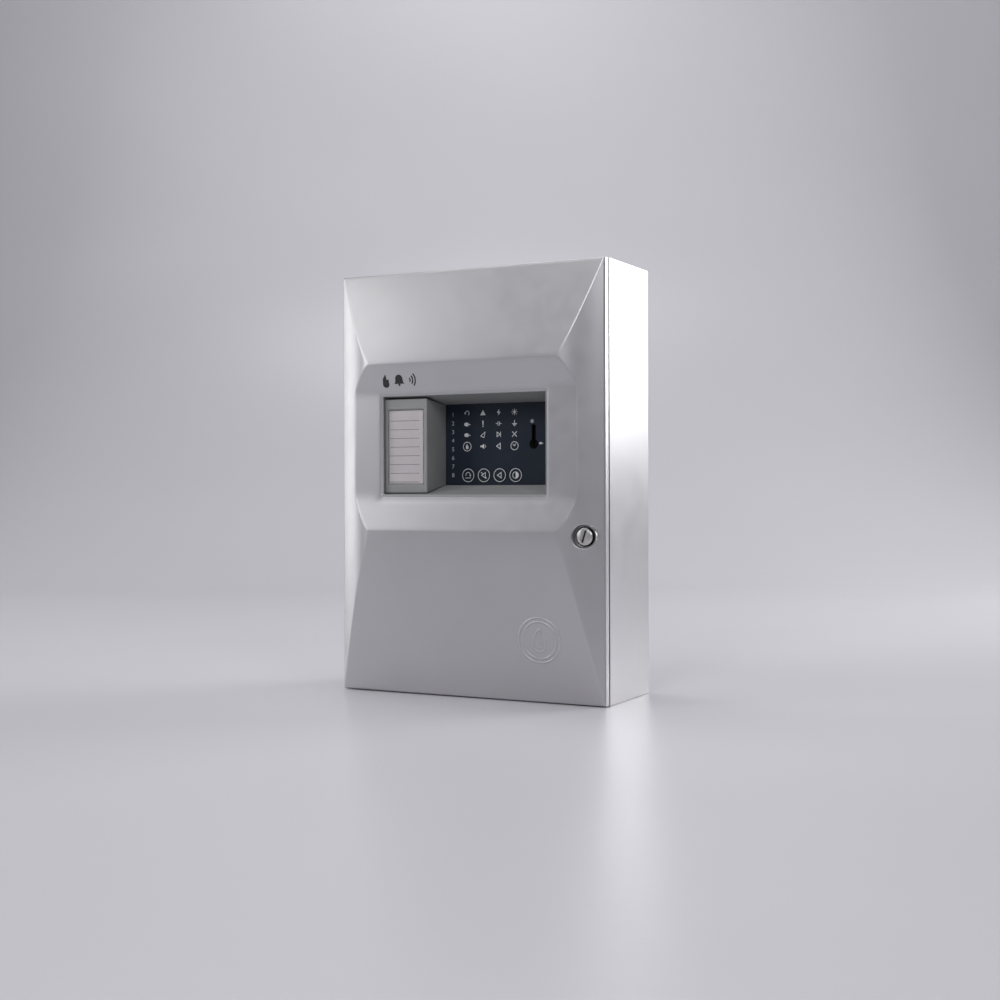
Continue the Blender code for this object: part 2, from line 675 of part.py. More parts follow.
def make_key_switch_housing(material):
    low = (KEY_X - KEY_BODY, FLOOR_Y, KEY_Z - KEY_BODY)
    high = (KEY_X + KEY_BODY, DISPLAY_BOARD_Y - GAP, KEY_SLOT_TOP + 0.0015)
    housing = box("key_switch_housing", low, high, material)
    well = [(FLOOR_Y - 0.001, KEY_HOLE_RADIUS), (DISPLAY_BOARD_Y - 0.0015, KEY_HOLE_RADIUS)]
    slot = box(
        "slot",
        (KEY_X - KEY_SLOT_WIDTH / 2, FLOOR_Y - 0.002, KEY_Z),
        (KEY_X + KEY_SLOT_WIDTH / 2, FLOOR_Y + 0.0030, KEY_SLOT_TOP),
        material,
    )
    return cut(housing, slot, turned("well", (KEY_X, 0, KEY_Z), "Y", well, material))


def make_key_rotor(material):
    front = OVERLAY_FRONT_Y + 0.0003
    profile = [
        (front, KEY_ROTOR_RADIUS - 0.0004),
        (front + 0.0004, KEY_ROTOR_RADIUS),
        (DISPLAY_BOARD_Y - 0.0020, KEY_ROTOR_RADIUS),
    ]
    rotor = turned("key_rotor", (KEY_X, 0, KEY_Z), "Y", profile, material)
    keyway = box(
        "keyway",
        (KEY_X - 0.0007, front - 0.001, KEY_Z - 0.0022),
        (KEY_X + 0.0007, front + 0.0030, KEY_Z + 0.0028),
        material,
    )
    return cut(rotor, keyway)


def make_display_board(material):
    low = (-DISPLAY_BOARD_X, DISPLAY_BOARD_Y, DISPLAY_BOARD_Z[0])
    high = (DISPLAY_BOARD_X, DISPLAY_BOARD_Y + BOARD_THICKNESS, DISPLAY_BOARD_Z[1])
    return box("display_board", low, high, material)


def make_buzzer(material):
    start = BOARD_REAR_Y
    profile = [
        (start, 0.0060),
        (start + 0.0080, 0.0060),
        (start + 0.0085, 0.0055),
        (start + 0.0085, 0.0015),
        (start + 0.0070, 0.0015),
    ]
    return turned("buzzer", BUZZER, "Y", profile, material)


def make_ribbon_plug(material):
    low = (PLUG_X - 0.0040, BOARD_REAR_Y, RIBBON_Z[0] - 0.0015)
    high = (PLUG_X + 0.0040, BOARD_REAR_Y + PLUG_HEIGHT, RIBBON_Z[1] + 0.0015)
    return box("ribbon_plug", low, high, material, 0.0004)


def make_ribbon_header(material):
    low = (HEADER_X - 0.0042, MAIN_BOARD_Y - GAP - HEADER_HEIGHT, RIBBON_Z[0] - 0.0020)
    high = (HEADER_X + 0.0042, MAIN_BOARD_Y - GAP, RIBBON_Z[1] + 0.0020)
    return box("ribbon_header", low, high, material, 0.0004)


def smooth_route(points, steps):
    """Catmull-Rom points through a route, with a fixed number of steps between two of its points."""
    points = [Vector(point) for point in points]
    padded = [2 * points[0] - points[1], *points, 2 * points[-1] - points[-2]]
    route = []
    for i in range(len(points) - 1):
        a, b, c, d = padded[i : i + 4]
        for step in range(steps):
            t = step / steps
            cubic = (3 * b - a - 3 * c + d) * t**3
            route.append(0.5 * (2 * b + (c - a) * t + (2 * a - 5 * b + 4 * c - d) * t**2 + cubic))
    return [*route, points[-1]]


def make_ribbon_cable(material):
    """The flat cable from the display board to the main board, folded twice so that the door can open."""
    plug_y = BOARD_REAR_Y + PLUG_HEIGHT + GAP
    header_y = MAIN_BOARD_Y - GAP - HEADER_HEIGHT - GAP
    route = smooth_route(
        [
            (PLUG_X, plug_y),
            (-0.0630, plug_y + 0.0050),
            (-0.0500, plug_y + 0.0065),
            (-0.0200, plug_y + 0.0065),
            (-0.0020, plug_y + 0.0070),
            (0.0040, plug_y + 0.0110),
            (-0.0020, plug_y + 0.0150),
            (-0.0200, plug_y + 0.0158),
            (-0.0600, plug_y + 0.0160),
            (-0.0900, plug_y + 0.0162),
            (-0.1010, plug_y + 0.0185),
            (HEADER_X, header_y - 0.0060),
            (HEADER_X, header_y),
        ],
        3,
    )
    sides = ([], [])
    for i, point in enumerate(route):
        along = route[min(i + 1, len(route) - 1)] - route[max(i - 1, 0)]
        across = Vector((-along.y, along.x)).normalized() * RIBBON_THICKNESS / 2
        sides[0].append(point + across)
        sides[1].append(point - across)
    loops = []
    for first, second in zip(*sides):
        corners = [(first, RIBBON_Z[0]), (second, RIBBON_Z[0]), (second, RIBBON_Z[1]), (first, RIBBON_Z[1])]
        loops.append([(point.x, point.y, z) for point, z in corners])
    return loft("ribbon_cable", loops, material)


# The cam lock.


def make_lock_barrel(material):
    """The lock's body: a flange on the door's seat and a tube through the door."""
    flange_y = LOCK_SEAT_Y - GAP
    profile = [
        (flange_y, 0.0070),
        (flange_y, 0.0091),
        (flange_y - 0.0014, 0.0091),
        (flange_y - 0.0020, 0.0084),
        (flange_y - 0.0020, 0.0053),
        (CABINET_FRONT_Y - 0.0040, 0.0053),
        (CABINET_FRONT_Y - 0.0040, 0.0070),
    ]
    return turned("lock_barrel", (LOCK_X, 0, LOCK_Z), "Y", profile, material, sides=32, closed=True)


def make_lock_nut(material):
    front = BOSS_BACK_Y + GAP
    hexagon = [(front, 0.0102), (front + 0.0035, 0.0102)]
    nut = turned("lock_nut", (LOCK_X, 0, LOCK_Z), "Y", hexagon, material, sides=6, turn=math.pi / 6)
    hole = [(front - 0.001, LOCK_BORE), (front + 0.005, LOCK_BORE)]
    return cut(nut, turned("hole", (LOCK_X, 0, LOCK_Z), "Y", hole, material, sides=24))


def make_lock_plug(material):
    """The slotted plug with a thin tail that carries the cam."""
    head_y = LOCK_SEAT_Y - GAP - 0.0020 - GAP
    profile = [
        (head_y - 0.0016, 0.0066),
        (head_y - 0.0009, 0.0073),
        (head_y, 0.0073),
        (head_y, 0.0050),
        (CABINET_FRONT_Y - 0.0030, 0.0050),
        (CABINET_FRONT_Y - 0.0030, 0.0036),
        (CAM_FRONT_Y - GAP, 0.0036),
        (CAM_FRONT_Y - GAP, 0.0024),
        (CAM_FRONT_Y + CAM_THICKNESS + 0.0001, 0.0024),
    ]
    plug = turned("lock_plug", (LOCK_X, 0, LOCK_Z), "Y", profile, material, sides=32)
    slot = box("slot", (-0.0008, -0.0012, -0.0058), (0.0008, 0.0010, 0.0058), material)
    slot.data.transform(Matrix.Rotation(LOCK_SLOT_TILT, 4, "Y"))
    slot.data.transform(Matrix.Translation((LOCK_X, head_y - 0.0016, LOCK_Z)))
    return cut(plug, slot)


def make_lock_cam(material):
    """A flat finger, pointing up when the door is free and to the right when it is locked."""
    half = 0.0040
    tip = [(half * math.cos(a), CAM_REACH - half + half * math.sin(a)) for a in half_turn(6)]
    foot = [(-half * math.cos(a), -half * math.sin(a)) for a in half_turn(6)]
    outline = [(LOCK_X + a, LOCK_Z + b) for a, b in tip + foot]
    cam = extruded("lock_cam", outline, "Y", CAM_FRONT_Y, CAM_FRONT_Y + CAM_THICKNESS, material)
    hole = [(CAM_FRONT_Y - 0.001, 0.0027), (CAM_FRONT_Y + CAM_THICKNESS + 0.001, 0.0027)]
    return cut(cam, turned("hole", (LOCK_X, 0, LOCK_Z), "Y", hole, material, sides=16))


def half_turn(steps):
    return [math.pi * i / steps for i in range(steps + 1)]


def make_lock_cam_screw(material):
    front = CAM_FRONT_Y + CAM_THICKNESS + 0.0004
    profile = [(front, 0.0038), (front + 0.0014, 0.0038), (front + 0.0020, 0.0030)]
    return turned("lock_cam_screw", (LOCK_X, 0, LOCK_Z), "Y", profile, material)


# The control board.


def make_main_board(material):
    low = (MAIN_BOARD_X[0], MAIN_BOARD_Y, MAIN_BOARD_Z[0])
    high = (MAIN_BOARD_X[1], MAIN_BOARD_Y + BOARD_THICKNESS, MAIN_BOARD_Z[1])
    return box("main_board", low, high, material)


def make_standoffs(material):
    made = []
    for x in (MAIN_BOARD_X[0] + MOUNT_INSET, MAIN_BOARD_X[1] - MOUNT_INSET):
        for z in (MAIN_BOARD_Z[0] + MOUNT_INSET, MAIN_BOARD_Z[1] - MOUNT_INSET):
            profile = [(MAIN_BOARD_Y + BOARD_THICKNESS + GAP, 0.0030), (WALL_Y - GAP, 0.0030)]
            name = f"board_standoff_{len(made) + 1}"
            made.append(turned(name, (x, 0, z), "Y", profile, material, sides=6))
    return made


def make_terminals(name, left, z_range, ways, pitch, back_y, height, material):
    """A screw terminal strip: a screw well in front and a wire mouth above for each way."""
    low = (left, back_y - height, z_range[0])
    high = (left + ways * pitch, back_y, z_range[1])
    strip = box(name, low, high, material)
    middle_z = (z_range[0] + z_range[1]) / 2
    wells = []
    for i in range(ways):
        x = left + (i + 0.5) * pitch
        well = [(low[1] - 0.001, pitch * 0.34), (low[1] + 0.004, pitch * 0.34)]
        wells.append(turned("well", (x, 0, middle_z), "Y", well, material, sides=8))
        mouth_low = (x - pitch * 0.32, back_y - height * 0.55, z_range[1] - 0.004)
        mouth_high = (x + pitch * 0.32, back_y - height * 0.15, z_range[1] + 0.001)
        wells.append(box("mouth", mouth_low, mouth_high, material))
    return cut(strip, *wells)


def board_box(name, centre, size, material, bevel=0.0005):
    """A component that stands on the main board: width, height and how far it stands out."""
    back = MAIN_BOARD_Y - GAP
    low = (centre[0] - size[0] / 2, back - size[2], centre[1] - size[1] / 2)
    return box(name, low, (centre[0] + size[0] / 2, back, centre[1] + size[1] / 2), material, bevel)


def make_heatsink(material):
    """A finned aluminium extrusion that stands on the main board."""
    back = MAIN_BOARD_Y - GAP
    tips = back - FIN_HEIGHT
    web = back - FIN_WEB
    outline = [(HEATSINK_X, back), (HEATSINK_X, tips)]
    for i in range(FINS):
        start = HEATSINK_X + i * FIN_PITCH
        outline.append((start + FIN_THICKNESS, tips))
        if i < FINS - 1:
            outline.append((start + FIN_THICKNESS, web))
            outline.append((start + FIN_PITCH, web))
            outline.append((start + FIN_PITCH, tips))
    outline.append((outline[-1][0], back))
    return extruded("heatsink", outline, "Z", *HEATSINK_Z, material)


def make_capacitor(material):
    """A can with the groove that its sleeve shrinks into."""
    back = MAIN_BOARD_Y - GAP
    profile = [
        (back, CAPACITOR_RADIUS),
        (back - 0.0020, CAPACITOR_RADIUS),
        (back - 0.0030, CAPACITOR_RADIUS - 0.0006),
        (back - 0.0040, CAPACITOR_RADIUS),
        (back - CAPACITOR_HEIGHT + 0.0005, CAPACITOR_RADIUS),
        (back - CAPACITOR_HEIGHT, CAPACITOR_RADIUS - 0.0005),
    ]
    return turned("smoothing_capacitor", CAPACITOR, "Y", profile, material, sides=20)


# The mains supply.


def make_transformer_core(material):
    """An E-I stack with two windows, on angle feet that reach the cabinet's back wall."""
    x, z = TRANSFORMER_X, TRANSFORMER_Z
    front, back = CORE_Y
    foot_back = WALL_Y - GAP
    low = (x - CORE_HALF_X, front, z - CORE_HALF_Z)
    core = box("transformer_core", low, (x + CORE_HALF_X, back, z + CORE_HALF_Z), material)
    window_z = CORE_HALF_Z - CORE_LEG / 2 - 0.0005
    windows = []
    feet = []
    for side in (-1, 1):
        near, far = sorted((x + side * CORE_LEG, x + side * (CORE_LEG + CORE_WINDOW)))
        window_high = (far, back + 0.001, z + window_z)
        windows.append(box("window", (near, front - 0.001, z - window_z), window_high, material))
        outer = x + side * CORE_HALF_X
        near, far = sorted((outer - side * 0.0006, outer + side * 0.0014))
        feet.append(box("leg", (near, front + 0.0005, z - 0.012), (far, foot_back, z + 0.012), material))
        near, far = sorted((outer + side * 0.0002, outer + side * 0.0080))
        foot_low = (near, foot_back - 0.0014, z - 0.0115)
        feet.append(box("foot", foot_low, (far, foot_back - 0.0001, z + 0.0115), material))
    cut(core, *windows)
    return join(core, *feet)


def make_transformer_coil(material):
    """The winding round the core's middle leg."""
    z = TRANSFORMER_Z
    inner_x = (TRANSFORMER_X - CORE_LEG - GAP, TRANSFORMER_X + CORE_LEG + GAP)
    inner_y = (CORE_Y[0] - GAP, CORE_Y[1] + GAP)
    build_up = CORE_WINDOW - 0.0006
    inner = [(inner_x[i], inner_y[j]) for i, j in ((0, 0), (1, 0), (1, 1), (0, 1))]
    outer_x = (inner_x[0] - build_up, inner_x[1] + build_up)
    outer_y = (inner_y[0] - build_up, inner_y[1] + build_up)
    outer = [(outer_x[i], outer_y[j]) for i, j in ((0, 0), (1, 0), (1, 1), (0, 1))]
    loops = [
        [(a, b, z - COIL_HALF_Z) for a, b in inner],
        [(a, b, z - COIL_HALF_Z) for a, b in outer],
        [(a, b, z + COIL_HALF_Z) for a, b in outer],
        [(a, b, z + COIL_HALF_Z) for a, b in inner],
    ]
    return loft("transformer_coil", loops, material, closed=True)


def make_fuse_holder(material):
    """A base with two clips and the cartridge fuse between them."""
    back = WALL_Y - GAP
    z = FUSE_Z
    holder = box("fuse_holder", (FUSE_X[0], back - 0.006, z - 0.005), (FUSE_X[1], back, z + 0.005), material)
    clips = []
    for x in (FUSE_X[0] + 0.005, FUSE_X[1] - 0.005):
        clip_high = (x + 0.002, back - 0.005, z + 0.0035)
        clips.append(box("clip", (x - 0.002, back - 0.013, z - 0.0035), clip_high, material))
    fuse = [(FUSE_X[0] + 0.0025, 0.0026), (FUSE_X[1] - 0.0025, 0.0026)]
    return join(holder, *clips, turned("fuse", (0, back - 0.0105, z), "X", fuse, material, sides=12))


def make_earth_stud(material):
    back = WALL_Y - GAP
    stud = turned("earth_stud", EARTH_STUD, "Y", [(back, 0.0025), (back - 0.016, 0.0025)], material, sides=12)
    washer = turned("washer", EARTH_STUD, "Y", [(back - 0.0001, 0.0060), (back - 0.0013, 0.0060)], material)
    nut = turned("nut", EARTH_STUD, "Y", [(back - 0.001, 0.0050), (back - 0.006, 0.0050)], material, sides=6)
    return join(stud, washer, nut)


# The standby supply.


def battery_left_x(index):
    total = 2 * BATTERY.x + BATTERY_GAP
    return -total / 2 + index * (BATTERY.x + BATTERY_GAP)


def make_battery(name, index, material):
    left = battery_left_x(index)
    low = (left, BATTERY_BACK_Y - BATTERY.y, BATTERY_BASE_Z)
    high = (left + BATTERY.x, BATTERY_BACK_Y, BATTERY_TOP_Z)
    battery = box(name, low, high, material, 0.0015)
    tabs = []
    for x in (left + TERMINAL_INSET, left + BATTERY.x - TERMINAL_INSET):
        tab_low = (x - 0.0004, TERMINAL_Y - 0.0032, BATTERY_TOP_Z - 0.001)
        tab_high = (x + 0.0004, TERMINAL_Y + 0.0032, BATTERY_TOP_Z + TERMINAL_HEIGHT)
        tabs.append(box("tab", tab_low, tab_high, material))
    return join(battery, *tabs)


def make_battery_strap(material):
    """A steel strap round both batteries, with a foot at each end on the back wall."""
    reach = BATTERY.x + BATTERY_GAP / 2 + 0.0006
    thickness = 0.0012
    front = BATTERY_BACK_Y - BATTERY.y - 0.0006
    back = WALL_Y - GAP
    foot = 0.012
    outline = strap_outline(reach, front, back, thickness, foot)
    return extruded("battery_strap", outline, "Z", *STRAP_Z, material)


def strap_outline(reach, front, back, thickness, foot):
    """Half of the strap's plan outline, then its mirror image."""
    right = [
        (reach, front),
        (reach, back),
        (reach + thickness + foot, back),
        (reach + thickness + foot, back - thickness),
        (reach + thickness, back - thickness),
        (reach + thickness, front - thickness),
    ]
    left = [(-x, y) for x, y in reversed(right)]
    return right + left


def make_lead(name, route, material):
    """A round insulated wire through the points of a route."""
    points = smooth_route(route, 4)
    curve = bpy.data.curves.new(name, "CURVE")
    curve.dimensions = "3D"
    curve.bevel_depth = LEAD_RADIUS
    curve.bevel_resolution = 2
    curve.use_fill_caps = True
    spline = curve.splines.new("POLY")
    spline.points.add(len(points) - 1)
    for target, point in zip(spline.points, points):
        target.co = (*point, 1.0)
    curve.materials.append(material)
    obj = bpy.data.objects.new(name, curve)
    bpy.context.scene.collection.objects.link(obj)
    return obj


def make_battery_leads(red, black):
    y = TERMINAL_Y
    top = BATTERY_TOP_Z + TERMINAL_HEIGHT + GAP
    left_minus = battery_left_x(0) + TERMINAL_INSET
    left_plus = battery_left_x(0) + BATTERY.x - TERMINAL_INSET
    right_minus = battery_left_x(1) + TERMINAL_INSET
    right_plus = battery_left_x(1) + BATTERY.x - TERMINAL_INSET
    link = [
        (left_plus, y, top),
        (left_plus, y, top + 0.005),
        (left_plus + 0.006, y, top + 0.009),
        (right_minus - 0.006, y, top + 0.009),
        (right_minus, y, top + 0.005),
        (right_minus, y, top),
    ]
    board_x = (BATTERY_BLOCK[0] - 0.005, BATTERY_BLOCK[0] + 0.005)
    board_z = BATTERY_BLOCK[1]
    board_y = MAIN_BOARD_Y - GAP - BATTERY_BLOCK_SIZE[2] - GAP
    minus = [
        (left_minus, y, top),
        (left_minus, y, top + 0.010),
        (left_minus - 0.012, y - 0.002, top + 0.030),
        (-0.098, y - 0.004, 0.160),
        (-0.092, board_y - 0.010, 0.195),
        (board_x[0], board_y - 0.009, board_z - 0.004),
        (board_x[0], board_y - 0.005, board_z),
        (board_x[0], board_y, board_z),
    ]
    plus = [
        (right_plus, y, top),
        (right_plus, y, top + 0.008),
        (right_plus - 0.008, y - 0.004, top + 0.014),
        (0.040, y - 0.008, top + 0.016),
        (-0.020, y - 0.010, top + 0.017),
        (-0.070, y - 0.010, top + 0.022),
        (-0.088, y - 0.010, top + 0.045),
        (-0.086, y - 0.014, 0.180),
        (-0.080, board_y - 0.013, 0.203),
        (board_x[1], board_y - 0.010, board_z - 0.004),
        (board_x[1], board_y - 0.005, board_z),
        (board_x[1], board_y, board_z),
    ]
    return [
        make_lead("battery_link_lead", link, black),
        make_lead("battery_lead_negative", minus, black),
        make_lead("battery_lead_positive", plus, red),
    ]


# Assembly.


def build():
    clear_scene()
    silver = make_material("silver_paint", (0.56, 0.56, 0.57), 0.42, 0.6)
    steel = make_material("zinc_steel", (0.60, 0.60, 0.60), 0.35, 1.0)
    chrome = make_material("chrome", (0.75, 0.75, 0.76), 0.15, 1.0)
    black = make_material("black_plastic", (0.02, 0.02, 0.022), 0.45)
    grey = make_material("grey_plastic", (0.16, 0.165, 0.165), 0.50)
    paper = make_material("card", (0.66, 0.63, 0.64), 0.80)
    clear = make_material("clear_plastic", (0.90, 0.90, 0.90), 0.10)
    navy = make_material("overlay_foil", (0.020, 0.032, 0.050), 0.40)
    board = make_material("board_green", (0.02, 0.14, 0.06), 0.45)
    green = make_material("terminal_green", (0.04, 0.25, 0.14), 0.50)
    aluminium = make_material("aluminium", (0.70, 0.70, 0.71), 0.35, 1.0)
    copper = make_material("winding", (0.55, 0.30, 0.08), 0.40, 0.3)
    iron = make_material("laminations", (0.16, 0.15, 0.15), 0.50, 0.8)
    case = make_material("battery_case", (0.10, 0.10, 0.11), 0.55)
    cable = make_material("ribbon_grey", (0.42, 0.42, 0.43), 0.55)
    red = make_material("red_insulation", (0.45, 0.02, 0.02), 0.45)

    make_back_box(silver)
    for i, x in enumerate(GROMMET_X):
        make_grommet(i + 1, x, black)
    make_hinge_bracket("hinge_bracket_lower", HINGE_Z[0], steel)
    make_hinge_bracket("hinge_bracket_upper", HINGE_Z[1], steel)
    make_lock_strike(steel)
    make_main_board(board)
    make_standoffs(steel)
    strip_y = MAIN_BOARD_Y - GAP
    make_terminals("zone_terminals", -0.112, STRIP_Z, 16, STRIP_PITCH, strip_y, STRIP_HEIGHT, green)
    make_terminals("output_terminals", -0.020, STRIP_Z, 12, STRIP_PITCH, strip_y, STRIP_HEIGHT, green)
    board_box("relay_fire", (-0.0600, RELAY_Z), RELAY_SIZE, black)
    board_box("relay_fault", (-0.0350, RELAY_Z), RELAY_SIZE, black)
    board_box("processor_chip", (-0.0500, 0.2900), (0.0140, 0.0140, 0.0016), black, 0.0003)
    board_box("battery_terminals", BATTERY_BLOCK, BATTERY_BLOCK_SIZE, green)
    make_heatsink(aluminium)
    make_capacitor(black)
    make_ribbon_header(black)
    make_ribbon_cable(cable)
    make_transformer_core(iron)
    make_transformer_coil(copper)
    make_terminals("mains_terminals", MAINS_X, MAINS_Z, 3, 0.010, WALL_Y - GAP, 0.014, grey)
    make_fuse_holder(grey)
    make_earth_stud(steel)
    make_battery("battery_left", 0, case)
    make_battery("battery_right", 1, case)
    make_battery_strap(steel)
    make_battery_leads(red, black)

    door_pivot = make_pivot("door_pivot", (HINGE_X, HINGE_Y, 0))
    attach(
        door_pivot,
        make_door_shell(silver),
        make_hinge_pin("hinge_pin_lower", HINGE_Z[0], steel),
        make_hinge_pin("hinge_pin_upper", HINGE_Z[1], steel),
        make_display_tray(grey),
        make_label_holder(grey),
        make_label_card(paper),
        make_label_window(clear),
        make_keypad_overlay(navy),
        make_key_switch_housing(black),
        make_display_board(board),
        make_buzzer(black),
        make_ribbon_plug(black),
        make_lock_barrel(black),
        make_lock_nut(steel),
    )
    for i, x in enumerate(BUTTON_X):
        attach(door_pivot, make_tact_switch(i + 1, x, black))
        button_pivot = make_pivot(f"button_{i + 1}_pivot", (x, OVERLAY_FRONT_Y, BUTTON_Z), door_pivot)
        attach(button_pivot, make_button(i + 1, x, navy))
    key_pivot = make_pivot("key_pivot", (KEY_X, OVERLAY_FRONT_Y, KEY_Z), door_pivot)
    attach(key_pivot, make_key_rotor(black))
    lock_pivot = make_pivot("lock_pivot", (LOCK_X, LOCK_SEAT_Y, LOCK_Z), door_pivot)
    attach(lock_pivot, make_lock_plug(chrome), make_lock_cam(steel), make_lock_cam_screw(steel))


build()
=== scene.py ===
"""The looks of a fire alarm control panel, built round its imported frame.

Units are metres. +Z is up, the door faces -Y, its hinge is at -X and its lock at +X.
"""

import math

import bmesh
import bpy
from mathutils import Matrix, Vector


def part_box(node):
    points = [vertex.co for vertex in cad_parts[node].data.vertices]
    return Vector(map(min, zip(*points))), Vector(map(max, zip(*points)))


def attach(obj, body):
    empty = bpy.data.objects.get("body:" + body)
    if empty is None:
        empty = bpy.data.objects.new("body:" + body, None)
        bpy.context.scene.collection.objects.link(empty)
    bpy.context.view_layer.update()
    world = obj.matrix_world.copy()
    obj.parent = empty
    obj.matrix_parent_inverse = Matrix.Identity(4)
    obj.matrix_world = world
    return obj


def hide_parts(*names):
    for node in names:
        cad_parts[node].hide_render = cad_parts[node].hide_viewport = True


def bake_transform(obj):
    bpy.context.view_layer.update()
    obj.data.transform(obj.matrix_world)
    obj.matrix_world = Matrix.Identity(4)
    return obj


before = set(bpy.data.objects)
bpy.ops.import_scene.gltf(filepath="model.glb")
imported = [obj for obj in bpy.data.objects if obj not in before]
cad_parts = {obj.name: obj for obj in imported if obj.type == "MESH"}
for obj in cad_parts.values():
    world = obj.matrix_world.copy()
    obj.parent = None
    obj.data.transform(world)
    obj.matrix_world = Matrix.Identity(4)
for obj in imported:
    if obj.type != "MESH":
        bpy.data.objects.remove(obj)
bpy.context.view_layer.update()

# Places read from the frame.
DOOR_LOW, DOOR_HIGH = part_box("door_shell")
BOX_LOW, BOX_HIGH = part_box("back_box")
CARD_LOW, CARD_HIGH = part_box("label_card")
HOLDER_LOW, HOLDER_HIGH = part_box("label_holder")
OVERLAY_LOW, OVERLAY_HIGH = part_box("keypad_overlay")
BARREL_LOW, BARREL_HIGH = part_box("lock_barrel")
PLUG_LOW, PLUG_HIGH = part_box("lock_plug")
BOARD_LOW, BOARD_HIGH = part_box("main_board")
DISPLAY_LOW, DISPLAY_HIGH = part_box("display_board")

HEIGHT = BOX_HIGH.z
HALF_WIDTH = BOX_HIGH.x
GAP = 0.0003
ENDS = (-1, 1)

# The door's relief, measured forwards from its rim.
CREST = 0.0207
VALLEY = 0.0148
RIM_Y = DOOR_LOW.y + CREST
RIM_BACK_Y = RIM_Y + 0.0054
FIELD_Y = RIM_Y - VALLEY
DOOR_WALL = 0.0026
SIDE_RUN = 0.041
SIDE_STEP = 0.0015
SIDE_POWER = 1.55
END_STEP = 0.0017
LOWER_POWER = 1.36
UPPER_POWER = 1.20
LOWER_RIDGE_Z = 0.155
VALLEY_Z = (0.186, 0.2856)
UPPER_RIDGE_Z = 0.312
CREASE_SOFTNESS = 0.0004
RIDGE_SOFTNESS = 0.00015
VALLEY_SOFTNESS = 0.0012
RIM_ROUND = 0.0013

# The display opening and the tray behind it.
OPENING_X = 0.0850
OPENING_Z = (0.1888, 0.2812)
BEZEL_WIDTH = 0.0024
BEZEL_DEPTH = 0.0014
MOUTH = ((-0.0872, 0.0872), (0.1886, 0.2814))
FLOOR = ((-0.0775, 0.0775), (0.1973, 0.2748))
FLOOR_Y = OVERLAY_HIGH.y + GAP
TRAY_FRONT_Y = FIELD_Y + DOOR_WALL + GAP
TRAY_WALL = 0.002
TRAY_FLANGE = 0.007
TRAY_BACK_Y = FLOOR_Y + TRAY_WALL
SCREW_INSET = 0.004

# Cam lock.
LOCK = (BARREL_LOW + BARREL_HIGH) / 2
LOCK_SEAT_Y = RIM_Y - 0.0093
LOCK_SEAT_RADIUS = 0.0103
LOCK_BORE = 0.0073
BOSS_BACK_Y = RIM_Y - 0.0012
LOCK_SLOT_TILT = math.radians(17)

# Hinges.
HINGE_Z = (0.055, 0.345)
HINGE_X = -HALF_WIDTH + 0.0020
HINGE_Y = RIM_BACK_Y - 0.0010
NOTCH_HALF_HEIGHT = 0.0014
NOTCH_FRONT_Y = HINGE_Y - 0.0024

CAMERA_AT = Vector((0.6410, -1.2221, 0.1944))
CAMERA_YAW = math.radians(27.34)
CAMERA_PITCH = math.radians(0.09)
CAMERA_ROLL = math.radians(-0.14)
CAMERA_LENS = 52.06
CAMERA_SHIFT = (0.002, -0.014)


# The camera comes first.


def make_camera():
    """The camera that was fitted to the photo."""
    data = bpy.data.cameras.new("camera")
    data.lens = CAMERA_LENS
    data.sensor_width = 36
    data.shift_x, data.shift_y = CAMERA_SHIFT
    data.clip_start = 0.01
    camera = bpy.data.objects.new("camera", data)
    bpy.context.scene.collection.objects.link(camera)
    turn = Matrix.Rotation(CAMERA_YAW, 4, "Z") @ Matrix.Rotation(math.pi / 2 + CAMERA_PITCH, 4, "X")
    camera.matrix_world = Matrix.Translation(CAMERA_AT) @ turn @ Matrix.Rotation(CAMERA_ROLL, 4, "Z")
    bpy.context.scene.camera = camera


make_camera()


# Materials.


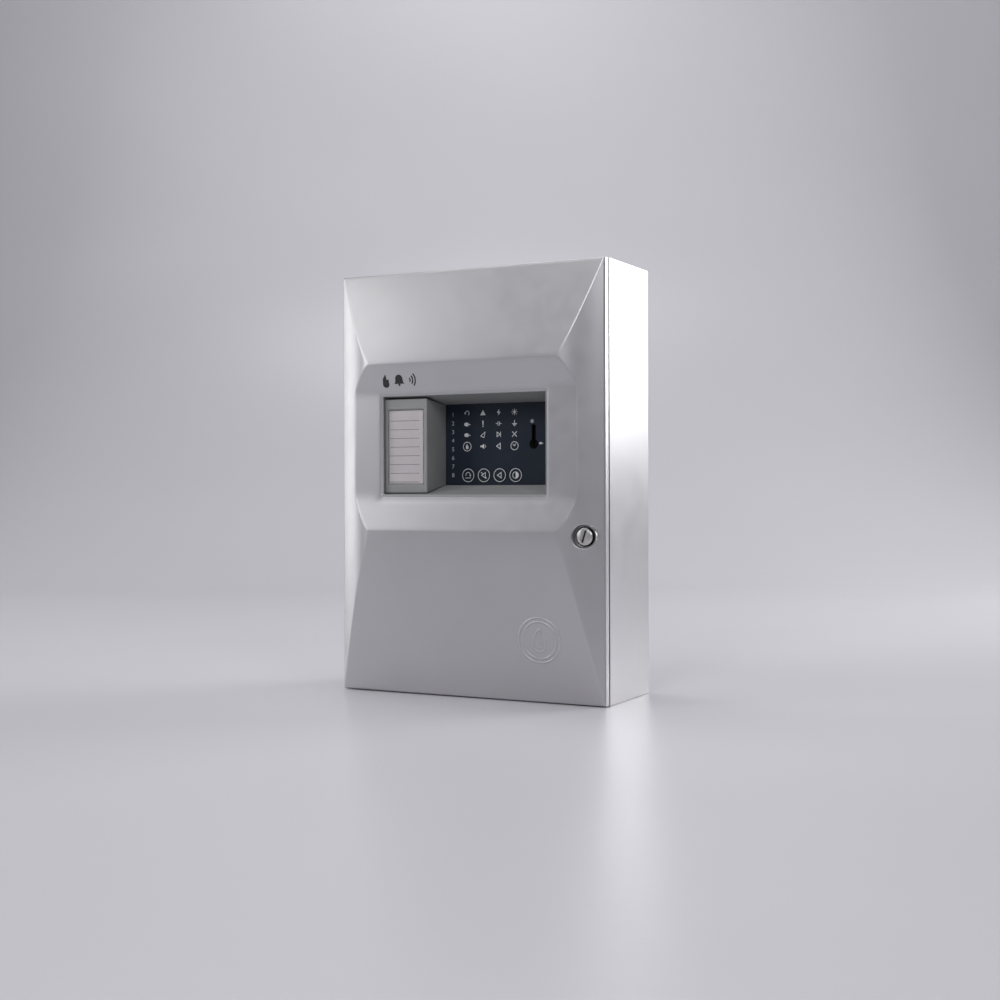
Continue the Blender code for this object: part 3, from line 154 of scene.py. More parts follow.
class Shader:
    """A node material in the making: a Principled shader and the object's own coordinates."""

    def __init__(self, name, **settings):
        self.material = bpy.data.materials.new(name)
        self.material.use_nodes = True
        self.tree = self.material.node_tree
        self.surface = self.tree.nodes["Principled BSDF"]
        self.place = self.node("TexCoord", "Object")
        for key, value in settings.items():
            self.surface.inputs[key.replace("_", " ")].default_value = value

    def node(self, kind, output, properties=None, **inputs):
        """Add a node, set or link its inputs (i0 is the first), and return one of its outputs."""
        made = self.tree.nodes.new(f"ShaderNode{kind}")
        for key, value in (properties or {}).items():
            setattr(made, key, value)
        for key, value in inputs.items():
            socket = made.inputs[int(key[1:]) if key[1:].isdigit() else key.replace("_", " ")]
            if isinstance(value, bpy.types.NodeSocket):
                self.tree.links.new(value, socket)
            else:
                socket.default_value = (*value, 1.0) if socket.type == "RGBA" else value
        return made.outputs[output]

    def noise(self, size, detail=2.0, roughness=0.5, vector=None):
        """Noise whose features are about a size in metres."""
        settings = {"Scale": 1 / size, "Detail": detail, "Roughness": roughness}
        return self.node("TexNoise", "Fac", Vector=vector or self.place, **settings)

    def cells(self, size, output="Distance"):
        """A pattern of cells about a size in metres."""
        return self.node("TexVoronoi", output, Vector=self.place, Scale=1 / size)

    def stretched(self, scale):
        return self.node("Mapping", "Vector", Vector=self.place, Scale=scale)

    def ramp(self, factor, first, second, start=0.3, end=0.7):
        """Greys or colours from the first to the second as a factor goes from start to end."""
        made = self.tree.nodes.new("ShaderNodeValToRGB")
        self.tree.links.new(factor, made.inputs["Fac"])
        for element, position, value in zip(made.color_ramp.elements, (start, end), (first, second)):
            element.position = position
            element.color = (*value, 1.0) if isinstance(value, tuple) else (value, value, value, 1.0)
        return made.outputs["Color"]

    def mix(self, factor, first, second, blend="MIX"):
        """Blend two colours, each a tuple or a socket."""
        kind = {"data_type": "RGBA", "blend_type": blend}
        return self.node("Mix", 2, kind, i0=factor, i6=first, i7=second)

    def math(self, operation, first, second):
        return self.node("Math", "Value", {"operation": operation}, i0=first, i1=second)

    def link(self, key, socket):
        self.tree.links.new(socket, self.surface.inputs[key])

    def bump(self, height, strength, depth, **under):
        return self.node("Bump", "Normal", Height=height, Strength=strength, Distance=depth, **under)

    def worn_edges(self):
        """High in a narrow strip along the outer edges."""
        pointed = self.ramp(self.node("NewGeometry", "Pointiness"), 0.0, 1.0, 0.50, 0.56)
        rounded = self.node("Bevel", "Normal", {"samples": 4}, Radius=0.0008)
        flat = self.node("NewGeometry", "Normal")
        turn = self.node("VectorMath", "Value", {"operation": "DOT_PRODUCT"}, i0=rounded, i1=flat)
        return self.math("MULTIPLY", pointed, self.ramp(turn, 1.0, 0.0, 0.75, 0.97))

    def done(self, colour, roughness, normal):
        """Link the three surface inputs that are given, and return the material."""
        for key, socket in (("Base Color", colour), ("Roughness", roughness), ("Normal", normal)):
            if socket:
                self.link(key, socket)
        return self.material


def silver_paint():
    """Satin silver metallic paint: flake, orange peel and slightly rubbed edges."""
    s = Shader("silver_paint", Metallic=0.78, Coat_Weight=0.10, Coat_Roughness=0.28)
    clouds = s.ramp(s.noise(0.11, 3), (0.505, 0.500, 0.515), (0.535, 0.530, 0.543))
    flake = s.ramp(s.noise(0.00035, 1, 0.7), 0.40, 0.60, 0.35, 0.65)
    colour = s.mix(0.16, clouds, flake, "SOFT_LIGHT")
    rubbed = s.mix(s.math("MULTIPLY", s.worn_edges(), 0.35), colour, (0.66, 0.66, 0.67))
    rough = s.ramp(s.noise(0.018, 4, 0.6), 0.31, 0.36)
    grit = s.math("MULTIPLY", s.noise(0.0005, 1), 0.03)
    peel = s.bump(s.noise(0.0016, 2), 0.10, 0.00008)
    sparkle = s.bump(s.noise(0.00035, 1), 0.06, 0.00003, Normal=peel)
    return s.done(rubbed, s.math("ADD", rough, grit), sparkle)


def moulded_plastic(name, dark, light, roughness, grain=0.0005, gloss=0.45):
    """Moulded plastic with a fine spark-eroded grain and paler worn edges."""
    s = Shader(name, Specular_IOR_Level=gloss)
    colour = s.ramp(s.noise(0.03, 4, 0.6), dark, light)
    worn = tuple(min(1.0, channel * 1.5 + 0.01) for channel in light)
    rubbed = s.mix(s.math("MULTIPLY", s.worn_edges(), 0.4), colour, worn)
    rough = s.ramp(s.noise(0.012, 3), roughness - 0.05, roughness + 0.05)
    return s.done(rubbed, rough, s.bump(s.noise(grain, 2, 0.6), 0.35, 0.00006))


def bright_metal(name, colour, roughness, brush=(1, 1, 30), spangle=0.0, size=0.004):
    """Bare or plated metal with fine drawn lines and, where it is zinc, soft spangles."""
    s = Shader(name, Metallic=1.0)
    streaks = s.noise(size, 5, 0.65, s.stretched(brush))
    base = s.ramp(streaks, tuple(channel * 0.86 for channel in colour), colour)
    if spangle:
        base = s.mix(0.18, base, s.ramp(s.cells(spangle, "Color"), 0.35, 0.75, 0.1, 0.9), "SOFT_LIGHT")
    return s.done(base, s.ramp(streaks, roughness + 0.08, roughness - 0.04), s.bump(streaks, 0.12, 0.00005))


def card_stock():
    """Matt pale card with its fibres."""
    s = Shader("card", Roughness=0.82, Specular_IOR_Level=0.3)
    fibres = s.noise(0.0007, 4, 0.7, s.stretched((1, 1, 0.35)))
    colour = s.ramp(fibres, (0.80, 0.755, 0.765), (0.87, 0.825, 0.835), 0.25, 0.75)
    return s.done(colour, None, s.bump(fibres, 0.2, 0.00004))


def clear_plastic():
    """Thin clear acetate with a trace of haze."""
    s = Shader("clear_plastic", Transmission_Weight=1.0, IOR=1.35)
    colour = s.ramp(s.noise(0.02, 2), (0.96, 0.96, 0.97), (1.0, 1.0, 1.0))
    return s.done(colour, s.ramp(s.noise(0.006, 3), 0.02, 0.07), None)


def overlay_foil():
    """Printed polyester foil: dark blue-grey, with a fine matt dot grain."""
    s = Shader("overlay_foil", Specular_IOR_Level=0.2)
    colour = s.ramp(s.noise(0.025, 3), (0.0125, 0.0185, 0.0300), (0.0155, 0.0220, 0.0350))
    return s.done(colour, s.ramp(s.noise(0.009, 3), 0.36, 0.44), s.bump(s.cells(0.00045), 0.25, 0.00004))


def ink(name, colour, roughness=0.5):
    """Screen-printed ink with slightly uneven cover."""
    s = Shader(name)
    cover = s.ramp(s.noise(0.0009, 3, 0.7), tuple(channel * 0.86 for channel in colour), colour)
    rough = s.ramp(s.noise(0.002, 2), roughness - 0.05, roughness + 0.05)
    return s.done(cover, rough, s.bump(s.noise(0.0004, 2), 0.15, 0.00002))


def circuit_board():
    """Green solder mask over a pattern of copper tracks and pads."""
    s = Shader("circuit_board", Specular_IOR_Level=0.5, Coat_Weight=0.3, Coat_Roughness=0.2)
    upright = s.node("Mapping", "Vector", Vector=s.place, Rotation=(math.pi / 2, 0, 0))
    pattern = {"offset": 0.37, "squash": 0.6, "squash_frequency": 3}
    bricks = {"Scale": 60.0, "Mortar_Size": 0.012, "Brick_Width": 0.42, "Row_Height": 0.13}
    tracks = s.node("TexBrick", "Fac", pattern, Vector=upright, **bricks)
    pads = s.ramp(s.cells(0.006), 1.0, 0.0, 0.10, 0.14)
    mask = s.ramp(s.noise(0.02, 3), (0.008, 0.075, 0.030), (0.012, 0.105, 0.042))
    covered = s.mix(s.math("MULTIPLY", tracks, 0.75), mask, (0.030, 0.190, 0.075))
    colour = s.mix(s.math("MULTIPLY", pads, 0.8), covered, (0.36, 0.36, 0.33))
    raised = s.bump(s.math("ADD", tracks, pads), 0.3, 0.00006)
    return s.done(colour, s.ramp(s.noise(0.003, 2), 0.30, 0.40), raised)


def laminated_steel():
    """Varnished transformer steel with the edges of its sheets showing."""
    s = Shader("laminations", Metallic=0.7)
    direction = {"bands_direction": "Y"}
    sheets = s.node("TexWave", "Fac", direction, Vector=s.place, Scale=1 / 0.0031, Distortion=0.4)
    colour = s.ramp(sheets, (0.075, 0.070, 0.068), (0.200, 0.190, 0.185), 0.2, 0.7)
    return s.done(colour, s.ramp(s.noise(0.004, 3), 0.38, 0.55), s.bump(sheets, 0.5, 0.0001))


def winding_tape():
    """Amber insulating tape over a winding, with the lap of each turn."""
    s = Shader("winding", Coat_Weight=0.4, Coat_Roughness=0.15)
    kind = {"bands_direction": "Z", "wave_profile": "SAW"}
    laps = s.node("TexWave", "Fac", kind, Vector=s.place, Scale=1 / 0.03, Distortion=0.6)
    colour = s.ramp(laps, (0.42, 0.25, 0.035), (0.58, 0.37, 0.075), 0.0, 1.0)
    return s.done(colour, s.ramp(s.noise(0.004, 3), 0.28, 0.42), s.bump(laps, 0.4, 0.0001))


def glossy_jacket(name, dark, light):
    """PVC wire insulation."""
    s = Shader(name, Specular_IOR_Level=0.5)
    rough = s.ramp(s.noise(0.003, 3), 0.34, 0.46)
    return s.done(s.ramp(s.noise(0.008, 3), dark, light), rough, s.bump(s.noise(0.0009, 3), 0.25, 0.00005))


TERMINAL_GREENS = ((0.030, 0.205, 0.115), (0.048, 0.265, 0.150))
CASE_GREYS = ((0.030, 0.031, 0.034), (0.048, 0.049, 0.053))
MATERIALS = {
    "silver_paint": silver_paint(),
    "zinc_steel": bright_metal("zinc_steel", (0.62, 0.62, 0.60), 0.36, spangle=0.003),
    "lock_chrome": bright_metal("lock_chrome", (0.64, 0.63, 0.62), 0.28, brush=(1, 1, 1), size=0.0050),
    "black_plastic": moulded_plastic("black_plastic", (0.007, 0.007, 0.008), (0.013, 0.013, 0.014), 0.50),
    "grey_plastic": moulded_plastic("grey_plastic", (0.250, 0.254, 0.255), (0.285, 0.289, 0.290), 0.55),
    "card": card_stock(),
    "clear_plastic": clear_plastic(),
    "overlay_foil": overlay_foil(),
    "circuit_board": circuit_board(),
    "terminal_plastic": moulded_plastic("terminal_plastic", *TERMINAL_GREENS, 0.5),
    "aluminium": bright_metal("aluminium", (0.72, 0.72, 0.73), 0.38, brush=(1, 1, 0.08), size=0.0008),
    "winding": winding_tape(),
    "laminations": laminated_steel(),
    "battery_case": moulded_plastic("battery_case", *CASE_GREYS, 0.5, 0.0009),
    "ribbon_grey": moulded_plastic("ribbon_grey", (0.36, 0.36, 0.37), (0.44, 0.44, 0.45), 0.5),
    "red_insulation": glossy_jacket("red_insulation", (0.38, 0.012, 0.012), (0.50, 0.020, 0.018)),
    "black_insulation": glossy_jacket("black_insulation", (0.012, 0.012, 0.013), (0.022, 0.022, 0.023)),
}
WHITE_INK = ink("white_ink", (0.66, 0.67, 0.69))
BLACK_INK = ink("black_ink", (0.016, 0.016, 0.018), 0.4)
GREY_INK = ink("grey_ink", (0.10, 0.095, 0.10))
DIM_INK = ink("dim_ink", (0.36, 0.38, 0.42))
# Dark metal for the lining of the plug's slot: painted shade in the slot, with some real tarnish.
SLOT_SHADE_AND_TARNISH = bright_metal("slot_shade_and_tarnish", (0.060, 0.058, 0.055), 0.55)
# Darker than the black plastic and with hardly any shine: the parts' own black, darkened further as painted
# shade in the keyhole and round the lock's plug.
BLACKS_WITH_PAINTED_SHADE = ((0.0020, 0.0020, 0.0022), (0.0035, 0.0035, 0.0038))
BLACK_WITH_PAINTED_SHADE = moulded_plastic("black_with_painted_shade", *BLACKS_WITH_PAINTED_SHADE, 0.60, gloss=0.06)
TAN_CERAMIC = moulded_plastic("tan_ceramic", (0.30, 0.22, 0.13), (0.38, 0.28, 0.17), 0.45, 0.0003)
BLUE_DISC = glossy_jacket("blue_disc", (0.015, 0.07, 0.26), (0.025, 0.10, 0.34))
RED_LENS = glossy_jacket("red_lens", (0.42, 0.02, 0.015), (0.55, 0.03, 0.02))


# Pieces. The angles are in degrees.


BEVEL_ANGLE = 40
CREASE_ANGLE = 70
CUT_ANGLE = 28


def add_object(name, mesh, material):
    mesh.materials.clear()
    mesh.materials.append(material)
    obj = bpy.data.objects.new(name, mesh)
    bpy.context.scene.collection.objects.link(obj)
    return obj


def from_bmesh(name, bm, material, angle=32):
    """Make an object of a bmesh, smooth except over edges sharper than an angle."""
    bmesh.ops.remove_doubles(bm, verts=bm.verts, dist=1e-7)
    bmesh.ops.recalc_face_normals(bm, faces=bm.faces)
    mesh = bpy.data.meshes.new(name)
    bm.to_mesh(mesh)
    bm.free()
    mesh.shade_smooth()
    mesh.set_sharp_from_angle(angle=math.radians(angle))
    return add_object(name, mesh, material)


def show(obj, body, slot, *nodes):
    """Hang a finished piece on its body and let it stand for CAD nodes. The slot is not used."""
    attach(obj, body)
    if nodes:
        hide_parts(*nodes)
    return obj


def finish(name, bm, slot, body, *nodes, material=None, angle=32):
    """Make a piece of a bmesh and show it."""
    show(from_bmesh(name, bm, material or MATERIALS[slot], angle), body, slot, *nodes)


def freeze(obj):
    """Apply an object's modifiers to its mesh."""
    evaluated = obj.evaluated_get(bpy.context.evaluated_depsgraph_get())
    mesh = bpy.data.meshes.new_from_object(evaluated)
    obj.modifiers.clear()
    obj.data = mesh


def bevel(obj, width, segments):
    """Round an object's sharp edges."""
    modifier = obj.modifiers.new("bevel", "BEVEL")
    modifier.width = width
    modifier.segments = segments
    modifier.limit_method = "ANGLE"
    modifier.angle_limit = math.radians(BEVEL_ANGLE)
    normals = obj.modifiers.new("normals", "WEIGHTED_NORMAL")
    normals.weight = 100
    normals.keep_sharp = True
    freeze(obj)


def bmesh_of(node):
    bm = bmesh.new()
    bm.from_mesh(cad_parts[node].data)
    bmesh.ops.remove_doubles(bm, verts=bm.verts, dist=1e-6)
    return bm


def soften(node, body, slot, width=0.0003, segments=2, name=None):
    """A copy of a CAD node with its flat faces whole and its edges rounded, in place of the node."""
    bm = bmesh_of(node)
    bmesh.ops.dissolve_limit(bm, angle_limit=math.radians(1), verts=bm.verts, edges=bm.edges)
    obj = from_bmesh(name or f"{node}_fine", bm, MATERIALS[slot])
    bevel(obj, width, segments)
    return show(obj, body, slot, node)


def smooth_copy(node, body, slot):
    """A CAD tube with more sides, in place of the node."""
    bm = bmesh_of(node)
    creases = bm.edges.layers.float.new("crease_edge")
    for edge in bm.edges:
        if edge.calc_face_angle(0) > math.radians(CREASE_ANGLE):
            edge[creases] = 1.0
    obj = from_bmesh(f"{node}_fine", bm, MATERIALS[slot], 60)
    modifier = obj.modifiers.new("subdivision", "SUBSURF")
    modifier.levels = 1
    modifier.render_levels = 1
    freeze(obj)
    show(obj, body, slot, node)


def cut_with(obj, bm, lining=None):
    """Cut a bmesh's solids out of an object. Lining is the cut faces' own material, if they have one."""
    tool = from_bmesh("cutter", bm, lining or MATERIALS["grey_plastic"])
    modifier = obj.modifiers.new("cut", "BOOLEAN")
    modifier.material_mode = "TRANSFER" if lining else "INDEX"
    modifier.operation = "DIFFERENCE"
    modifier.solver = "EXACT"
    modifier.object = tool
    freeze(obj)
    obj.data.set_sharp_from_angle(angle=math.radians(CUT_ANGLE))
    bpy.data.objects.remove(tool, do_unlink=True)


def box_of(node):
    """A node's lowest and highest corners and its middle."""
    low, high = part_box(node)
    return low, high, (low + high) / 2


def numbered(name):
    """The names of the four nodes that share a name."""
    return [f"{name}_{index}" for index in range(1, 5)]


# Shapes.


def add_loops(bm, loops, closed=False, cap_start=False, cap_end=False):
    """Skin a chain of loops with equal point counts."""
    rings = [[bm.verts.new(point) for point in loop] for loop in loops]
    pairs = list(zip(rings, rings[1:]))
    if closed:
        pairs.append((rings[-1], rings[0]))
    count = len(rings[0])
    for first, second in pairs:
        for i in range(count):
            j = (i + 1) % count
            bm.faces.new((first[i], first[j], second[j], second[i]))
    if cap_start:
        bm.faces.new(rings[0])
    if cap_end:
        bm.faces.new(rings[-1])
    return rings


def circle(centre, axis, radius, sides):
    """Points on a circle round an axis named X, Y or Z."""
    points = []
    for i in range(sides):
        angle = 2 * math.pi * i / sides
        a, b = radius * math.cos(angle), radius * math.sin(angle)
        offset = {"X": (0, a, b), "Y": (a, 0, b), "Z": (a, b, 0)}[axis]
        points.append(Vector(centre) + Vector(offset))
    return points


def add_turned(bm, centre, axis, profile, sides=32, closed=False):
    """Add a turned solid. The profile lists (position along the axis, radius)."""
    unit = Vector({"X": (1, 0, 0), "Y": (0, 1, 0), "Z": (0, 0, 1)}[axis])
    base = Vector(centre) - unit * Vector(centre).dot(unit)
    loops = [circle(base + unit * along, axis, radius, sides) for along, radius in profile]
    add_loops(bm, loops, closed, not closed, not closed)


def add_box(bm, low, high, round_off=0.0, segments=2):
    """Add a box between two corners, its edges rounded."""
    low, high = Vector(low), Vector(high)
    place = Matrix.Translation((low + high) / 2) @ Matrix.Diagonal((*(high - low), 1))
    made = bmesh.ops.create_cube(bm, size=1.0, matrix=place)
    if round_off:
        edges = list(dict.fromkeys(edge for vert in made["verts"] for edge in vert.link_edges))
        bmesh.ops.bevel(bm, geom=edges, offset=round_off, segments=segments, profile=0.5, affect="EDGES")


def round_loop(low, high, axis, along, corner, inset=0.0, steps=4):
    """A rectangle with round corners across an axis (0, 1 or 2), drawn in by an inset."""
    first, second = [i for i in range(3) if i != axis]
    radius = max(corner - inset, 0.0001)
    a_range = (low[first] + inset + radius, high[first] - inset - radius)
    b_range = (low[second] + inset + radius, high[second] - inset - radius)
    loop = []
    for a, b, quarter in ((1, 1, 0), (0, 1, 1), (0, 0, 2), (1, 0, 3)):
        for i in range(steps + 1):
            angle = math.pi / 2 * (quarter + i / steps)
            point = Vector()
            point[axis] = along
            point[first] = a_range[a] + radius * math.cos(angle)
            point[second] = b_range[b] + radius * math.sin(angle)
            loop.append(point)
    return loop


def rounded_rectangle(x_range, z_range, radius, y, grow=0.0):
    """A rectangle with round corners in the plane y. Grow pushes the outline out."""
    corners = [(x, 0, z) for x, z in zip(x_range, z_range)]
    return round_loop(*corners, 1, y, radius, -grow, 6)


def add_slab(bm, low, high, axis, corner, profile, steps=4):
    """A block with round corners, skinned along an axis. The profile lists (position, inset)."""
    loops = [round_loop(low, high, axis, along, corner, inset, steps) for along, inset in profile]
    add_loops(bm, loops, cap_start=True, cap_end=True)


def soft_ends(start, end, soft):
    """A block's profile with both ends rounded over."""
    way = soft if end > start else -soft
    first = [(start, soft), (start + way * 0.3, soft * 0.3), (start + way, 0)]
    return [*first, (end - way, 0), (end - way * 0.3, soft * 0.3), (end, soft)]


def smooth_route(points, steps):
    """Catmull-Rom points through a route, with a fixed number of steps between two of its points."""
    points = [Vector(point) for point in points]
    padded = [2 * points[0] - points[1], *points, 2 * points[-1] - points[-2]]
    route = []
    for i in range(len(points) - 1):
        a, b, c, d = padded[i : i + 4]
        for step in range(steps):
            t = step / steps
            cubic = (3 * b - a - 3 * c + d) * t**3
            route.append(0.5 * (2 * b + (c - a) * t + (2 * a - 5 * b + 4 * c - d) * t**2 + cubic))
    return [*route, points[-1]]


def add_block(bm, x_span, y_span, z_span, round_off=0.0, segments=2):
    """Add a box over three spans, each given in either order."""
    low, high = zip(*(sorted(span) for span in (x_span, y_span, z_span)))
    add_box(bm, low, high, round_off, segments)


def about(middle, half):
    """The span that reaches half its length to both sides of a middle."""
    return middle - half, middle + half


def stepped(level, way, *profile):
    """A turned profile of (step, radius) pairs, counted from a level along +1 or -1."""
    return [(level + way * step, radius) for step, radius in profile]


def quarter_turn(steps):
    """The cosine and sine of a quarter turn, in a number of steps."""
    angles = [math.pi / 2 * i / steps for i in range(steps + 1)]
    return [(math.cos(angle), math.sin(angle)) for angle in angles]


# The door's relief.


def soft_min(a, b, softness):
    """The lower of two heights, rounded where they meet."""
    near = max(softness - abs(a - b), 0.0)
    return min(a, b) - near * near / (4 * softness)


def arc_rise(step, share, power):
    """The height a share of the way from a step at the outline up to the crest."""
    return step + (CREST - step) * (1 - max(0.0, 1 - share) ** power)


def side_rise(run):
    return arc_rise(SIDE_STEP, run / SIDE_RUN, SIDE_POWER)


def crease_run(rise):
    """Distance from the door's side edge at which the side facet reaches a height."""
    rest = max(0.0, 1 - (rise - SIDE_STEP) / (CREST - SIDE_STEP))
    return SIDE_RUN * (1 - rest ** (1 / SIDE_POWER))


def middle_rise(z):
    """Height along the door's centre line: an arc, a ridge, a ramp, the field, and the same upwards."""
    if z < (VALLEY_Z[0] + VALLEY_Z[1]) / 2:
        rise = arc_rise(END_STEP, max(z, 0.0) / LOWER_RIDGE_Z, LOWER_POWER)
        ramp = CREST + (VALLEY - CREST) * (z - LOWER_RIDGE_Z) / (VALLEY_Z[0] - LOWER_RIDGE_Z)
    else:
        rise = arc_rise(END_STEP, max(HEIGHT - z, 0.0) / (HEIGHT - UPPER_RIDGE_Z), UPPER_POWER)
        ramp = VALLEY + (CREST - VALLEY) * (z - VALLEY_Z[1]) / (UPPER_RIDGE_Z - VALLEY_Z[1])
    ramp = -soft_min(-ramp, -VALLEY, VALLEY_SOFTNESS)
    return soft_min(rise, ramp, RIDGE_SOFTNESS)


def rim_drop(distance):
    """How far the rounded edge falls below the relief, close to the door's outline."""
    inside = RIM_ROUND - distance
    if inside <= 0:
        return 0.0
    return RIM_ROUND - math.sqrt(max(RIM_ROUND**2 - inside**2, 0.0))


def relief_y(x, z):
    """The door's front surface before its outline is rounded."""
    run = max(HALF_WIDTH - abs(x), 0.0)
    return RIM_Y - soft_min(side_rise(run), middle_rise(z), CREASE_SOFTNESS)


def front_y(x, z):
    """The door's front surface."""
    end = min(z - DOOR_LOW.z, DOOR_HIGH.z - z)
    return relief_y(x, z) + rim_drop(HALF_WIDTH - abs(x)) + rim_drop(end)


def drawn_in(value, low, high):
    """A coordinate of the inner skin: pulled in by the wall close to the outline."""
    band = 0.012
    pull = DOOR_WALL / band
    if value < low + band:
        return value + (low + band - value) * pull
    if value > high - band:
        return value - (value - high + band) * pull
    return value


def inner_point(x, z):
    """The inner skin's point behind one of the front's."""
    y = min(relief_y(x, z) + DOOR_WALL, NOTCH_FRONT_Y - 0.0001)
    return drawn_in(x, -HALF_WIDTH, HALF_WIDTH), y, drawn_in(z, DOOR_LOW.z, DOOR_HIGH.z)


def eased(start, end, steps):
    """Values from start to end, closest together near both."""
    return [start + (end - start) * 0.5 * (1 - math.cos(math.pi * i / steps)) for i in range(steps + 1)]


def door_rows():
    """Heights of the door's rows, gathered at its ridges, at its field and at the hinge notches."""
    stops = (DOOR_LOW.z, LOWER_RIDGE_Z, *VALLEY_Z, UPPER_RIDGE_Z, DOOR_HIGH.z)
    rows = [DOOR_LOW.z]
    for start, end, steps in zip(stops, stops[1:], (44, 12, 16, 12, 32)):
        rows += eased(start, end, steps)[1:]
    for z in HINGE_Z:
        rows += about(z, NOTCH_HALF_HEIGHT)
    return sorted(rows)


def row_columns(z):
    """Columns of a row, which follow the creases between the side facets and the middle."""
    crease = crease_run(middle_rise(z))
    left = eased(-HALF_WIDTH, -HALF_WIDTH + crease, 26)
    middle = eased(-HALF_WIDTH + crease, HALF_WIDTH - crease, 44)[1:-1]
    return left + middle + [-x for x in reversed(left)]


def in_circle(x, z, radius):
    return math.hypot(x - LOCK.x, z - LOCK.z) < radius


def in_opening(x, z, margin):
    return abs(x) < OPENING_X + margin and OPENING_Z[0] - margin < z < OPENING_Z[1] + margin


def open_skin(bm, grid, flip, margin, radius):
    """Skin a grid of vertices, leaving out the faces that touch the opening or the lock's hole."""
    for lower, upper in zip(grid, grid[1:]):
        for i in range(len(lower) - 1):
            corners = (lower[i], lower[i + 1], upper[i + 1], upper[i])
            spots = [(vert.co.x, vert.co.z) for vert in corners]
            if any(in_opening(*spot, margin) or in_circle(*spot, radius) for spot in spots):
                continue
            bm.faces.new(tuple(reversed(corners)) if flip else corners)


def add_skins(bm):
    """Add the door's two skins, and return the grids of their vertices."""
    outer, inner = [], []
    for z in door_rows():
        columns = row_columns(z)
        outer.append([bm.verts.new((x, front_y(x, z), z)) for x in columns])
        inner.append([bm.verts.new(inner_point(x, z)) for x in columns])
    open_skin(bm, outer, False, BEZEL_WIDTH + 0.0025, 0.0135)
    open_skin(bm, inner, True, 0.0005, 0.0115)
    return outer, inner


def grid_border(grid):
    """The outer vertices of a grid, once round."""
    right = [row[-1] for row in grid[1:-1]]
    left = [row[0] for row in reversed(grid[1:-1])]
    return [*grid[0], *right, *reversed(grid[-1]), *left]


def in_notch(first, second):
    """Whether an edge of the border is on the hinge side and inside a hinge notch."""
    middle = (first.co + second.co) / 2
    on_side = middle.x < -HALF_WIDTH + 0.004
    return on_side and any(abs(middle.z - z) < NOTCH_HALF_HEIGHT for z in HINGE_Z)


def add_rim(bm, outer, inner):
    """The rim's outer band, back face and inner band, notched where the hinge brackets come through."""
    bands = []
    for edge in (outer, inner):
        for y in (NOTCH_FRONT_Y, RIM_BACK_Y):
            bands.append([bm.verts.new((vert.co.x, y, vert.co.z)) for vert in edge])
    out_deep, out_back, in_deep, in_back = bands
    count = len(outer)
    for i in range(count):
        j = (i + 1) % count
        bm.faces.new((outer[i], outer[j], out_deep[j], out_deep[i]))
        bm.faces.new((in_deep[i], in_deep[j], inner[j], inner[i]))
        if in_notch(outer[i], outer[j]):
            bm.faces.new((out_deep[i], out_deep[j], in_deep[j], in_deep[i]))
            continue
        bm.faces.new((out_deep[i], out_deep[j], out_back[j], out_back[i]))
        bm.faces.new((out_back[i], out_back[j], in_back[j], in_back[i]))
        bm.faces.new((in_back[i], in_back[j], in_deep[j], in_deep[i]))
    for i in range(count):
        if in_notch(outer[i - 1], outer[i]) != in_notch(outer[i], outer[(i + 1) % count]):
            bm.faces.new((out_deep[i], out_back[i], in_back[i], in_deep[i]))


def hole_edges(bm, is_in, reach, front):
    """The open edges round a hole, in the front skin or in the inner one."""
    chosen = []
    for edge in [edge for edge in bm.edges if edge.is_boundary]:
        middle = (edge.verts[0].co + edge.verts[1].co) / 2
        is_front = middle.y < front_y(middle.x, middle.z) + DOOR_WALL / 2
        if is_front == front and is_in(middle.x, middle.z, reach):
            chosen.append(edge)
    return chosen


def add_door_opening(bm):
    """The mitred chamfer round the display opening and the opening's walls, down to the inner skin."""
    soft = 0.0001
    levels = (
        (BEZEL_WIDTH + 0.0020, FIELD_Y),
        (BEZEL_WIDTH + 2 * soft, FIELD_Y),
        (BEZEL_WIDTH, FIELD_Y + soft / 2),
        (BEZEL_WIDTH - soft, FIELD_Y + 2 * soft),
        (2 * soft, FIELD_Y + BEZEL_DEPTH - 2 * soft),
        (soft / 2, FIELD_Y + BEZEL_DEPTH),
        (0.0, FIELD_Y + BEZEL_DEPTH + 2 * soft),
        (0.0, FIELD_Y + DOOR_WALL),
    )
    spans = (-OPENING_X, OPENING_X), OPENING_Z
    return add_loops(bm, [rounded_rectangle(*spans, 0.0004, y, grow) for grow, y in levels])


def lock_ring(radius, y=None):
    """A ring round the lock, on the door's front or at a level y."""
    points = circle((LOCK.x, 0, LOCK.z), "Y", radius, 72)
    for point in points:
        point.y = front_y(point.x, point.z) if y is None else y
    return points


def add_lock_seat(bm):
    """The round seat that is sunk into the side facet on one side and stands out of it on the other."""
    loops = [lock_ring(0.0128), lock_ring(0.0118), lock_ring(LOCK_SEAT_RADIUS + 0.0008)]
    for share, grow in ((0.10, 0.0003), (0.35, 0.0001)):
        sloped = lock_ring(LOCK_SEAT_RADIUS + grow)
        for point in sloped:
            point.y += (LOCK_SEAT_Y - point.y) * share
        loops.append(sloped)
    loops += [
        lock_ring(LOCK_SEAT_RADIUS, LOCK_SEAT_Y + 0.0003),
        lock_ring(LOCK_SEAT_RADIUS - 0.0001, LOCK_SEAT_Y),
        lock_ring(LOCK_SEAT_RADIUS - 0.0005, LOCK_SEAT_Y),
        lock_ring(LOCK_BORE, LOCK_SEAT_Y),
        lock_ring(LOCK_BORE, BOSS_BACK_Y),
        lock_ring(LOCK_SEAT_RADIUS + 0.0003, BOSS_BACK_Y),
    ]
    inner = lock_ring(LOCK_SEAT_RADIUS + 0.0003)
    for point in inner:
        point.y = min(point.y + DOOR_WALL, BOSS_BACK_Y - 0.0003)
    return add_loops(bm, [*loops, inner])


def lock_angle(vertex):
    """A vertex's angle round the lock, anticlockwise from the front, from -pi to pi with 0 straight below."""
    return math.atan2(vertex.co.x - LOCK.x, LOCK.z - vertex.co.z)


